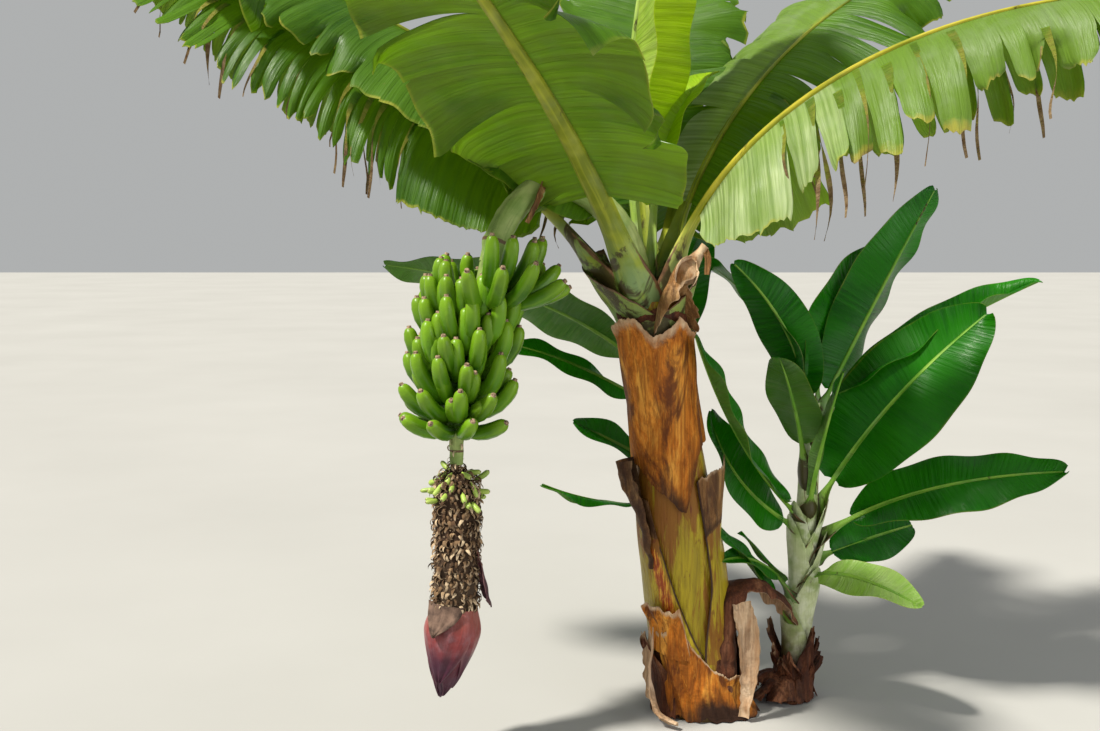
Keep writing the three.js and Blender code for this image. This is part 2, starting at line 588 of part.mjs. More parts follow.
// Dry sheaths on the main stem: a torn wrap round its upper half, two loose flaps and a peeled foot.
const wrapRim = (u) => [lerp(700, 800, Math.abs(2 * u - 1)) + 30 * Math.sin(u * 19), 1050 + 18 * Math.sin(u * 23)];
add("dry_sheath_wrap", (extra) => shell(MAIN, 130, 410, wrapRim, (u, v) => 6 * v, 5 + 2 * extra, 10, 2), looks.drySheath);
add("sheath_flap_left", (extra) => shell(MAIN, 190, 238, (u) => [330 + 60 * u, 640 + 70 * (1 - u)],
  (u, v) => 75 * (1 - u) * Math.max(0, v - 0.55) ** 2 * 4, 5 + 2 * extra, 4, 5), looks.drySheath);
add("sheath_flap_right", (extra) => shell(MAIN, 290, 350, (u) => [330, 670 + 30 * u],
  (u, v) => 40 * u * v * v, 5 + 2 * extra, 4, 4), looks.drySheath);
add("dry_foot_sheath", (extra) => shell(MAIN, 215, 345, (u) => [25, 330 - 120 * u],
  (u, v) => 60 * u * (1 - v) ** 2, 6 + 2 * extra, 7, 4), looks.drySheath);

// The dead sheath that twists up out of the stem's right shoulder, like a funnel drawn out to a point.
const NECK = [[-105, -150, 1062], [-112, -205, 1150], [-72, -212, 1225], [-30, -205, 1275]];
add("dry_neck_sheath", (extra) => ribbon(NECK, (u) => lerp(62, 14, u) + extra, 17 + 2 * extra, 20, 6, FRONT), looks.drySheath);

for (const row of CROWN) addLeaf(row, MAIN, {}, row.name.startsWith("leaf_young") ? looks.youngLeaf : looks.leaf);

add("fruit_stalk", (extra) => stalkPiece(0, FRUIT_TOP, (t) => lerp(36, 31, t), 8, 9, extra), looks.stalk);
add("fruit_bunch", () => fruitBunch(), looks.fruit);
add("dead_flowers", (extra) => stalkPiece(FRUIT_END, FLOWERS_END, flowersRadius, 10, 8, extra), looks.driedFlowers);
add("bell", (extra) => stalkPiece(FLOWERS_END, 1, bellRadius, 11, 6, extra), looks.bell);

// At the right sucker's foot: the root that joins it to the main stem, dead sheaths, and a dead leaf that
// arches over towards the main stem and hangs to the ground.
function rootShoulder(extra) {
  const ball = new THREE.SphereGeometry(1, 10, 8);
  ball.rotateX(Math.PI / 2);
  ball.scale(110 + extra, 70 + extra, 48 + extra);
  ball.translate(190, 35, 0);
  return solidOf(ball).trimByPlane([0, 0, 1], 0);
}
add("root_shoulder", rootShoulder, looks.drySheath);
add("sucker_dead_sheaths", (extra) => shell(RIGHT_SUCKER, 20, 340, (u) => [52, 215 + 25 * Math.sin(u * 17)],
  (u, v) => 30 * (1 - v) ** 2, 6 + 2 * extra, 9, 3), looks.deadLeaf);
const DEAD_ARCH = [[262, 40, 225], [215, 5, 300], [150, -25, 345], [80, -40, 348], [35, -55, 280], [22, -95, 150]];
add("dead_leaf_arch", (extra) => ribbon(DEAD_ARCH, (u) => lerp(22, 52, Math.sin(Math.PI * u)) + extra, 9 + 2 * extra, 26, 8, UP),
  looks.deadLeaf);
const DEAD_STRIP = [[95, -95, 322], [112, -112, 240], [116, -120, 140], [100, -125, 14]];
add("dead_leaf_strip", (extra) => ribbon(DEAD_STRIP, (u) => 24 - 8 * u + extra, 6 + 2 * extra, 6, 5, FRONT), looks.drySheath);

for (const row of RIGHT_LEAVES) addLeaf(row, RIGHT_SUCKER, SUCKER_LEAF, looks.leaf);
for (const row of BACK_LEAVES) addLeaf(row, BACK_SUCKER, SUCKER_LEAF, looks.leaf);

export default plant;
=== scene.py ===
# %% [markdown]
# # A dwarf banana plant in fruit, with its suckers
#
# A banana plant is a giant herb: its trunk is a column of leaf sheaths, each leaf is one torn blade on a
# channelled stalk, and the fruit hangs upside down from a stalk that grows up through the middle. This lesson
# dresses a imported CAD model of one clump: a main stem with its crown, bunch and dead flowers, and two suckers.
# The same rules that bent the coarse CAD leaves are written again here in metres, with far finer grids.

# %% The frame
import math
import random

import bmesh
import bpy
import numpy as np
from mathutils import Matrix, Vector, noise


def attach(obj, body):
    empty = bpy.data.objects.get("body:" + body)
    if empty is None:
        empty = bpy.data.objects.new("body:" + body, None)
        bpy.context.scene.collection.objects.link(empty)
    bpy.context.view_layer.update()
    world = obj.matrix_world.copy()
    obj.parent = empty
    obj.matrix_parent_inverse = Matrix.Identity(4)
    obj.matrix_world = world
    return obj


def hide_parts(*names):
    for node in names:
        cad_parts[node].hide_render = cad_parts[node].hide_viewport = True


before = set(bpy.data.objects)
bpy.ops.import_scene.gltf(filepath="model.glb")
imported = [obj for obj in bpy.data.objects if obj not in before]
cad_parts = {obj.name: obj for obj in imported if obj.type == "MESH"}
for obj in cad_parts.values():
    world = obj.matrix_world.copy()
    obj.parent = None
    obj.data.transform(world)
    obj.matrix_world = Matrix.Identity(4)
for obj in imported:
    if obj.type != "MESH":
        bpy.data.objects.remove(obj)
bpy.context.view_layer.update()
scene = bpy.context.scene

# %% [markdown]
# ## The camera
# The photograph was taken from about three metres away with a 40 mm lens, tilted down by six degrees. The same
# lens and place give the same perspective, so near leaves loom as they should.

# %% Camera
IMAGE_WIDTH = 1100  # pixels
FOCAL_LENGTH = 1222.0  # pixels of the same image
SENSOR_WIDTH = 36  # millimetres
TILT = 6.07  # degrees below level
camera_data = bpy.data.cameras.new("camera")
camera_data.sensor_width = SENSOR_WIDTH
camera_data.lens = FOCAL_LENGTH / IMAGE_WIDTH * SENSOR_WIDTH
camera = bpy.data.objects.new("camera", camera_data)
camera.location = (-0.4166, -3.275, 1.297)
camera.rotation_euler = (math.radians(90 - TILT), 0, 0)
scene.collection.objects.link(camera)
scene.camera = camera
print("lens", round(camera_data.lens, 2), "mm")

# %% [markdown]
# ## Small helpers for numbers
# Every surface here is a rule from two numbers, u and v, to a point. NumPy works such a rule out for a whole
# grid at once, so the helpers below take arrays. `chance` gives the same random number for the same seed as
# the CAD did, so the big tears fall in the same places.


# %% Numbers
def lerp(a, b, t):
    return a + (b - a) * t


def smooth(x, low, high):
    t = np.clip((np.asarray(x, float) - low) / (high - low), 0, 1)
    return t * t * (3 - 2 * t)


def chance(n):
    wave = np.sin(n * 12.9898) * 43758.5453
    return wave - np.floor(wave)


def unit(a):
    return a / np.maximum(np.linalg.norm(a, axis=-1, keepdims=True), 1e-12)


def heading(degrees):
    a = np.radians(np.asarray(degrees, float))
    return np.stack([np.cos(a), np.sin(a), np.zeros_like(a)], -1)


def bell_curve(x, at, wide):
    """1 at one place, falling softly to 0 on both sides of it."""
    return np.exp(-(((x - at) / wide) ** 2))


def sideways(u):
    """How far a place lies from the middle of its row, from 0 to 1."""
    return np.abs(2 * u - 1)


def rough(points, scale, seed=0.0, stretch=(1, 1, 1)):
    """Smooth noise from -1 to 1 at each point, in lumps of 1/scale metres."""
    moved = np.asarray(points) * np.array(stretch) * scale + np.array([seed * 7.3, seed * 3.1, seed * 5.7])
    return np.array([noise.noise(Vector(p)) for p in moved])


UP = np.array([0.0, 0.0, 1.0])

# %% [markdown]
# ## Laying a grid
# Blender's `create_grid` gives a flat sheet of quads. `lay` moves its corners to a rule's points, and notes on
# each corner where it lies on the real surface. The note `lie` holds metres along, metres out and the share
# out to the edge, and `tone` holds how dry the place is, some chance and one more note that differs from
# surface to surface. The materials read both. `home` is only for the walls.


# %% Grids
def new_mesh():
    bm = bmesh.new()
    bm.verts.layers.float_vector.new("lie")
    bm.verts.layers.float_color.new("tone")
    bm.verts.layers.float_vector.new("home")
    return bm


FURTHEST = 1.6  # walls that a new corner may lie from its old one


def thicken(bm, thickness, sheets=None):
    """Gives every open sheet, or those named, a wall and returns the new faces. A tight fold would throw its
    inner corner far out, so each new corner stays close to the place that it came from."""
    home = bm.verts.layers.float_vector["home"]
    for vert in bm.verts:
        vert[home] = vert.co
    made = bmesh.ops.solidify(bm, geom=sheets or bm.faces[:], thickness=thickness)["geom"]
    for vert in bm.verts:
        moved = vert.co - vert[home]
        if moved.length > FURTHEST * thickness:
            vert.co = vert[home] + moved.normalized() * FURTHEST * thickness
    return [face for face in made if isinstance(face, bmesh.types.BMFace)]


def lay(bm, across, along, surface, lie=None, tone=None, finish=0, flip=False, closed=False):
    """Adds a grid and moves it to surface(u, v). closed joins its first and last columns and its poles."""
    made = bmesh.ops.create_grid(bm, x_segments=across, y_segments=along, size=0.5)["verts"]
    u = np.array([vert.co.x for vert in made]) + 0.5
    v = np.array([vert.co.y for vert in made]) + 0.5
    lie_layer = bm.verts.layers.float_vector["lie"]
    tone_layer = bm.verts.layers.float_color["tone"]
    points = surface(u, v)
    notes = lie(u, v) if lie else np.stack([u, v, v], -1)
    tones = tone(u, v) if tone else np.zeros((len(u), 4))
    for vert, point, note, shade in zip(made, points, notes, tones):
        vert.co = point
        vert[lie_layer] = note
        vert[tone_layer] = shade
    faces = list({face for vert in made for face in vert.link_faces})
    for face in faces:
        face.material_index = finish
    if flip:
        bmesh.ops.reverse_faces(bm, faces=faces)
    if closed:
        bmesh.ops.remove_doubles(bm, verts=made, dist=2e-5)
        return None
    return faces


def outward(bm):
    """Turns every closed part's faces outwards, and every open sheet's the same way."""
    bmesh.ops.recalc_face_normals(bm, faces=bm.faces[:])


def tones_of(*columns):
    """Packs up to three columns of numbers as colours."""
    full = [np.asarray(c, float) for c in columns]
    full += [np.zeros_like(full[0])] * (3 - len(full))
    return np.stack(full + [np.ones_like(full[0])], -1)


def piece(name, bm, finishes, slot, *nodes, crease=45):
    """Makes a finished object of a mesh: its materials, its ride and the CAD nodes it stands for. slot is not used."""
    mesh = bpy.data.meshes.new(name)
    bm.verts.layers.float_vector.remove(bm.verts.layers.float_vector["home"])
    bm.to_mesh(mesh)
    bm.free()
    for finish in finishes:
        mesh.materials.append(finish)
    mesh.polygons.foreach_set("use_smooth", [True] * len(mesh.polygons))
    mesh.set_sharp_from_angle(angle=math.radians(crease))
    made = bpy.data.objects.new(name, mesh)
    scene.collection.objects.link(made)
    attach(made, "root")
    if nodes:
        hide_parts(*nodes)
    mesh.calc_loop_triangles()
    print(f"{name}: {len(mesh.loop_triangles)} triangles")


# %% [markdown]
# ## A bench for node materials
# A material is a small graph of nodes. This bench keeps the graphs short to write: each method adds one node
# and gives back its output, so a recipe reads like a sum. Every recipe works in Object coordinates or in the
# notes that `lay` left on the mesh, so its pattern stays on the surface.


# %% Material bench
def shaded(colour, by):
    return [c * by for c in colour]


class Finish:
    def __init__(self, name, roughness=0.5, specular=0.3):
        self.material = bpy.data.materials.new(name)
        self.material.use_nodes = True
        self.tree = self.material.node_tree
        self.shader = self.tree.nodes["Principled BSDF"]
        self.shader.inputs["Roughness"].default_value = roughness
        self.shader.inputs["Specular IOR Level"].default_value = specular
        self.place = self.add("TexCoord").outputs["Object"]
        lie = self.add("SeparateXYZ", {0: self.note("lie", "Vector")})
        self.along, self.out, self.share = lie.outputs
        tone = self.add("SeparateColor", {0: self.note("tone", "Color")})
        self.dry, self.strip, self.extra = tone.outputs[:3]

    def add(self, kind, values=None, **settings):
        node = self.tree.nodes.new("ShaderNode" + kind)
        for key, value in settings.items():
            setattr(node, key, value)
        for socket, value in (values or {}).items():
            self.feed(node.inputs[socket], value)
        return node

    def feed(self, socket, value):
        if isinstance(value, bpy.types.NodeSocket):
            self.tree.links.new(value, socket)
        elif socket.type == "RGBA" and len(value) == 3:
            socket.default_value = (*value, 1)
        else:
            socket.default_value = value

    def note(self, name, output):
        return self.add("Attribute", attribute_name=name).outputs[output]

    def maths(self, how, a, b=0.0):
        return self.add("Math", {0: a, 1: b}, operation=how).outputs[0]

    def times(self, a, b):
        return self.maths("MULTIPLY", a, b)

    def loosened(self, value, grain, amount):
        """A value with noise laid over it, so that its border wanders."""
        return self.maths("ADD", value, self.times(self.maths("SUBTRACT", grain, 0.5), amount))

    def height(self):
        return self.add("SeparateXYZ", {0: self.place}).outputs[2]

    def stretched(self, scale):
        """The place, scaled by a different number each way."""
        return self.add("VectorMath", {0: self.place, 1: scale}, operation="MULTIPLY").outputs[0]

    def laid(self, along, out):
        """The place on the laid-out surface, in metres along and out, each scaled."""
        return self.add("CombineXYZ", {0: self.times(self.along, along), 1: self.times(self.out, out)}).outputs[0]

    def noise(self, scale=10.0, where=None, detail=4.0, rough=0.55, warp=0.0):
        values = {"Vector": where or self.place, "Scale": scale, "Detail": detail, "Roughness": rough}
        return self.add("TexNoise", {**values, "Distortion": warp}).outputs["Fac"]

    def step(self, value, low, high, start=0.0, end=1.0):
        node = self.add("MapRange", {0: value, 1: low, 2: high, 3: start, 4: end}, interpolation_type="SMOOTHSTEP")
        return node.outputs[0]

    def mix(self, factor, a, b):
        node = self.add("Mix", data_type="RGBA", clamp_factor=True)
        for socket, value in zip((node.inputs[0], node.inputs[6], node.inputs[7]), (factor, a, b)):
            self.feed(socket, value)
        return node.outputs[2]

    def tint(self, colour, where, amount, over):
        """A colour with another laid over it, by an amount, where a mask says."""
        return self.mix(self.times(where, amount), colour, over)

    def ramp(self, value, *stops):
        """A colour for each value. A stop is a place and a colour."""
        node = self.add("ValToRGB", {0: value})
        ends = node.color_ramp.elements
        while len(ends) < len(stops):
            ends.new(0.5)
        for element, (at, colour) in zip(ends, stops):
            element.position = at
            element.color = (*colour, 1)
        return node.outputs[0]

    def bump(self, height, distance, under=None):
        values = {"Height": height, "Distance": distance}
        if under:
            values["Normal"] = under
        return self.add("Bump", values).outputs[0]

    def done(self, colour, normal=None, roughness=None, through=None, share=0.0):
        """Feeds the shader. through is the colour of light that comes through, and share is how much."""
        self.feed(self.shader.inputs["Base Color"], colour)
        if normal:
            self.feed(self.shader.inputs["Normal"], normal)
        if roughness is not None:
            self.feed(self.shader.inputs["Roughness"], roughness)
        if through is not None:
            glow = self.add("BsdfTranslucent", {"Color": through})
            if normal:
                self.feed(glow.inputs["Normal"], normal)
            both = self.add("MixShader", {0: share, 1: self.shader.outputs[0], 2: glow.outputs[0]})
            self.tree.links.new(both.outputs[0], self.tree.nodes["Material Output"].inputs[0])
        return self.material


# %% [markdown]
# ## The studio
# A plain pale floor and soft light. The key is a sun lamp with a wide, soft disc, high on the left and a little
# in front, where the sun stands in the photograph, so it rakes across the stem and comes through the blades.

# %% Floor and light
floor_bm = bmesh.new()
bmesh.ops.create_grid(floor_bm, x_segments=1, y_segments=1, size=40)
floor_mesh = bpy.data.meshes.new("floor")
floor_bm.to_mesh(floor_mesh)
floor_bm.free()
floor = bpy.data.objects.new("floor", floor_mesh)
scene.collection.objects.link(floor)
pale = Finish("pale_floor", 0.9, 0.2)
plaster = pale.ramp(pale.noise(0.6), (0.3, (0.4, 0.395, 0.38)), (0.7, (0.43, 0.425, 0.41)))
floor_mesh.materials.append(pale.done(plaster))


def lamp(name, kind, power, place, aim):
    """A lamp at a place that shines towards an aim."""
    data = bpy.data.lights.new(name, kind)
    data.energy = power
    made = bpy.data.objects.new(name, data)
    made.location = place
    made.rotation_euler = (Vector(place) - Vector(aim)).to_track_quat("Z", "Y").to_euler()
    scene.collection.objects.link(made)
    return data


sun = lamp("key", "SUN", 5.7, (-0.5, -0.3, 0.82), (0, 0, 0))
sun.angle, sun.color = math.radians(6), (1, 0.96, 0.86)
fill = lamp("fill", "AREA", 60, (3.4, -3.4, 1.6), (0, 0, 0.9))
fill.shape, fill.size = "DISK", 3.0
world = bpy.data.worlds.new("studio")
world.use_nodes = True
sky_colour, sky_strength = world.node_tree.nodes["Background"].inputs[:2]
sky_colour.default_value = (0.93, 0.95, 0.95, 1)
sky_strength.default_value = 0.46
scene.world = world
scene.view_settings.view_transform = "Standard"
# %% [markdown]
# ## What a banana blade looks like
# The upper face is a deep, slightly glossy green, and the underside is paler and bloomed with wax. Veins run
# out from the midrib a hair's breadth apart, gathered in soft pleats a centimetre or so wide. Sun shines
# through the blade, so the shader mixes in light from behind. Old margins and torn tips go yellow, then brown.


# %% Blade finish
def blade_finish(name, deep, light, through, share, roughness, bloom=0.0, fades_to=None, hem=0.5):
    f = Finish(name, roughness)
    base = f.mix(f.step(f.noise(4, detail=3), 0.4, 0.6), deep, light)
    # fades_to: painted sunlight on the near part of a blade gives way to this green farther along it.
    if fades_to:
        far = f.loosened(f.extra, f.strip, 0.25)
        base = f.mix(f.step(far, 0.22, 0.42), base, fades_to)
        light = fades_to
    veins = f.noise(1.0, f.laid(900, 8), 2)
    pleats = f.noise(1.0, f.laid(75, 2.2), 3)
    # Pleat ridges are painted lighter and the furrows darker: painted highlight and shade along the pleats' relief.
    colour = f.tint(base, f.step(pleats, 0.42, 0.6), 0.65, light)
    colour = f.tint(colour, f.step(pleats, 0.42, 0.34), 0.35, shaded(deep, 0.5))
    colour = f.tint(colour, f.step(veins, 0.5, 0.75), 0.3, [min(1, c * 1.7 + 0.004) for c in light])
    if bloom:
        colour = f.tint(colour, f.step(f.noise(14, detail=5), 0.42, 0.7), bloom, (0.42, 0.5, 0.36))
    colour = f.tint(colour, f.strip, 0.3, shaded(deep, 0.45))
    edge = f.loosened(f.share, f.noise(30, detail=3), 0.04)
    hemmed = f.step(f.noise(7, detail=2), 0.4, 0.6, hem * 0.3, hem * 1.4)
    colour = f.tint(colour, f.step(edge, 0.965, 0.99), hemmed, (0.45, 0.42, 0.06))
    spots = f.step(f.noise(55, detail=5, rough=0.7), 0.7, 0.76)
    colour = f.tint(colour, spots, 0.5, (0.2, 0.13, 0.04))
    parched = f.loosened(f.dry, f.noise(22, detail=5), 0.7)
    yellow = f.step(parched, 0.35, 0.6)
    brown = f.step(parched, 0.6, 0.8)
    straw = f.ramp(f.noise(60, detail=4), (0.3, (0.2, 0.11, 0.045)), (0.7, (0.5, 0.36, 0.19)))
    colour = f.mix(yellow, colour, (0.42, 0.38, 0.07))
    colour = f.mix(brown, colour, straw)
    glow = f.mix(brown, f.mix(f.step(pleats, 0.38, 0.66), through, shaded(through, 0.72)), (0.3, 0.18, 0.08))
    ridge = f.bump(pleats, 0.0065)
    ridge = f.bump(veins, 0.0008, ridge)
    return f.done(colour, ridge, None, glow, share)


CROWN_TOP = blade_finish("blade_top", (0.026, 0.09, 0.004), (0.08, 0.19, 0.01), (0.46, 0.68, 0.02), 0.34, 0.34)
CROWN_UNDER = blade_finish("blade_under", (0.1, 0.19, 0.02), (0.25, 0.38, 0.03), (0.62, 0.88, 0.02), 0.55, 0.5, 0.1)
# CROWN_LIT is a pale copy of the upper face: painted sunlight on one half blade of a leaf in full sun. Its speckled
# bloom is real wax.
CROWN_LIT = blade_finish("blade_painted_sunlit", (0.36, 0.48, 0.17), (0.6, 0.7, 0.38), (0.62, 0.8, 0.24), 0.4, 0.36, 0.25,
                         fades_to=(0.15, 0.27, 0.03))
YOUNG_TOP = blade_finish("young_blade_top", (0.28, 0.52, 0.006), (0.46, 0.68, 0.02), (0.8, 0.95, 0.03), 0.5, 0.36)
YOUNG_UNDER = blade_finish("young_blade_under", (0.3, 0.46, 0.03), (0.46, 0.6, 0.1), (0.7, 0.88, 0.05), 0.5, 0.45, 0.12)
SUCKER_TOP = blade_finish("sucker_blade_top", (0.004, 0.1, 0.001), (0.02, 0.22, 0.002), (0.12, 0.58, 0.003), 0.36,
                          0.3, hem=0.22)
SUCKER_UNDER = blade_finish("sucker_blade_under", (0.06, 0.18, 0.015), (0.12, 0.27, 0.035), (0.2, 0.56, 0.015), 0.34,
                            0.5, 0.18, hem=0.22)
SUNLIT_TOP = blade_finish("sunlit_blade", (0.3, 0.56, 0.08), (0.52, 0.74, 0.24), (0.6, 0.85, 0.1), 0.4, 0.36, 0.1,
                          hem=0.3)

# %% [markdown]
# ## The midrib and the leaf stalk
# The stalk is a gutter: round below, hollow above, with thin brown margins near the stem where its wings have
# dried. Along the blade it closes up to a pale, slender midrib. Here `along` is metres from the foot, `dry` is
# how near a place lies to the gutter's rim, and `extra` is how near it lies to the foot.


# %% Stalk finish
def stalk_finish(name, deep, light, bloom):
    f = Finish(name, 0.45)
    fibres = f.noise(1.0, f.laid(6, 260), 3)
    stain = f.noise(11, f.stretched((1, 1, 0.6)), 6, rough=0.65, warp=0.8)
    stained = f.step(f.maths("ADD", stain, f.times(f.extra, 0.15)), 0.61, 0.68)
    colour = f.mix(f.step(f.noise(9, detail=3), 0.35, 0.65), deep, light)
    colour = f.tint(colour, f.extra, 0.8, (0.11, 0.22, 0.025))
    colour = f.tint(colour, f.step(fibres, 0.45, 0.7), 0.35, shaded(light, 1.35))
    colour = f.tint(colour, f.step(f.noise(20, detail=5), 0.45, 0.7), bloom, (0.4, 0.46, 0.33))
    colour = f.tint(colour, f.step(f.noise(8, detail=4), 0.45, 0.6), f.times(f.extra, 0.5), (0.25, 0.36, 0.2))
    colour = f.tint(colour, stained, 0.9, (0.04, 0.02, 0.008))
    rim = f.loosened(f.dry, f.noise(26, detail=5), 0.8)
    brown = f.ramp(f.noise(45, detail=5), (0.3, (0.05, 0.022, 0.012)), (0.7, (0.22, 0.12, 0.055)))
    colour = f.mix(f.step(rim, 0.42, 0.62), colour, brown)
    return f.done(colour, f.bump(fibres, 0.0012))


CROWN_RIB = stalk_finish("crown_stalk", (0.16, 0.2, 0.008), (0.36, 0.38, 0.024), 0.08)
GOLD_RIB = stalk_finish("old_stalk", (0.3, 0.31, 0.012), (0.58, 0.5, 0.045), 0.05)
YOUNG_RIB = stalk_finish("young_stalk", (0.24, 0.38, 0.05), (0.42, 0.54, 0.12), 0.3)
SUCKER_RIB = stalk_finish("sucker_stalk", (0.09, 0.26, 0.012), (0.2, 0.38, 0.035), 0.12)

# %% [markdown]
# ## The rule of a leaf
# This is the CAD's own rule. A midrib starts at its foot with an azimuth and a rise and bends down by its
# droop; `spine` walks along it and keeps a frame at each of 60 steps. A half blade folds from the midrib and
# sinks under its own weight, by how limp it is. `blade_points` walks out from the midrib in 12 steps.

# %% Leaf rule
WALK = 60
LEAF = dict(bend=1.5, sweep=0, roll=0, fold=12, fold_right=None, limp=1.6, limp_right=None, shape=0.45, strips=5,
            torn=0.5, rib=0.015, foot_width=0.062, foot_thick=0.026, out=0.04, fine=3, whole=0.0, dry=0.1, wave=0.006,
            deep=0.35, gap=0.12, loose=1.5, turned=False, waxed=0, shreds=0.0, pointed=0.6, fray=0, uneven=0.0,
            starts=0.008, rows=14, pitch=0.011)


def spine(leaf):
    """Gives frame_at(t), with the point, along, left and normal at shares t of the leaf's whole length."""
    t = np.arange(WALK + 1) / WALK
    rise = np.radians(leaf["rise"] - leaf["droop"] * t ** leaf["bend"])[:, None]
    flat = heading(leaf["azimuth"] + leaf["sweep"] * t)
    along = flat * np.cos(rise) + UP * np.sin(rise)
    level = -flat * np.sin(rise) + UP * np.cos(rise)
    side = np.cross(level, along)
    roll = math.radians(leaf["roll"])
    left = side * math.cos(roll) + level * math.sin(roll)
    normal = np.cross(along, left)
    step = (leaf["petiole"] + leaf["blade"]) / WALK
    points = np.vstack([leaf["foot"], leaf["foot"] + np.cumsum(along * step, axis=0)])

    def frame_at(share):
        place = np.clip(share, 0, 1) * WALK
        i = np.minimum(place.astype(int), WALK - 1)
        part = (place - i)[:, None]
        return [lerp(points[i], points[i + 1], part)] + [
            unit(lerp(axis[i], axis[i + 1], part)) for axis in (along, left, normal)
        ]

    return frame_at


def half_width(leaf, s):
    return leaf["half"] * np.maximum(np.sin(np.pi * np.clip(s, 0, 1) ** 0.85), 0) ** leaf["shape"]


def blade_points(leaf, frame_at, side, s, v, extra, reach=1.0):
    """Points at shares s along the blade and v out from the midrib, and the blade's normals there."""
    steps = 12
    length = leaf["petiole"] + leaf["blade"]
    point, along, left, normal = frame_at((leaf["petiole"] + s * leaf["blade"]) / length)
    right = side < 0
    fold = math.radians(leaf["fold_right"] if right and leaf["fold_right"] is not None else leaf["fold"])
    limp = leaf["limp_right"] if right and leaf["limp_right"] is not None else leaf["limp"]
    out = unit(left * side * math.cos(fold) + normal * math.sin(fold) + along * lerp(-0.25, 0.8, s)[:, None])
    stride = (half_width(leaf, s) * v * reach / steps)[:, None]
    for _ in range(steps):
        out = unit(out - UP * (limp + extra)[:, None] * stride)
        point = point + out * stride
    return point, unit(np.cross(along, out)) * side


# %% [markdown]
# ## Tearing a half blade
# Wind tears a blade along its veins. The CAD has a few big tears on each side, and here each of its strips
# tears again into finer ones. A tear has a depth: inside it the strips still share an edge, and beyond it each
# hangs and curls on its own, and its tip dries out. `whole` is the share near the stalk that has held. The rules
# inside a loop read its values as they are, because `lay` uses them at once.


# %% Strips
def strip_edges(leaf, side):
    """Where the strips of one half meet, how deep each tear is, and how each strip hangs."""
    n = leaf["strips"]
    seed = leaf["seed"] * 31 + (0 if side > 0 else 17)
    big = [(k + (0 if k in (0, n) else (chance(seed + k) - 0.5) * 0.6)) / n for k in range(n + 1)]
    edges, depths, hang = [0.0], [1.0], []
    for k in range(n):
        gape = leaf["torn"] * lerp(0.1, 0.32, chance(seed + 100 + k))
        limp = leaf["torn"] * lerp(-0.9, 1.6, chance(seed + 200 + k))
        parts = max(1, round(leaf["fine"] * (big[k + 1] - big[k]) * n)) if n > 1 else 1
        for j in range(parts):
            luck = chance(seed + 300 + k * 17 + j)
            narrowing = leaf["gap"] * (0.5 + luck) + gape * 0.3 if parts > 1 else gape
            hang.append((narrowing, limp + leaf["loose"] * (luck - 0.5), luck))
            jog = (chance(seed + 400 + k * 13 + j) - 0.5) * 0.75 if j < parts - 1 else 0
            edges.append(lerp(big[k], big[k + 1], (j + 1 + jog) / parts))
            fresh = np.clip(leaf["deep"] * lerp(0.2, 2.2, chance(seed + 500 + k * 11 + j)), 0.03, 0.95)
            depth = fresh if j < parts - 1 else 0.06
            depths.append(max(depth, 1.0 if edges[-1] < leaf["whole"] else 0.0))
    depths[-1] = 1.0
    return edges, depths, hang


BLADE_END = 0.988  # the last strip's end, as a share of the blade
NARROWEST = 0.01  # a strip narrower than this share is left out


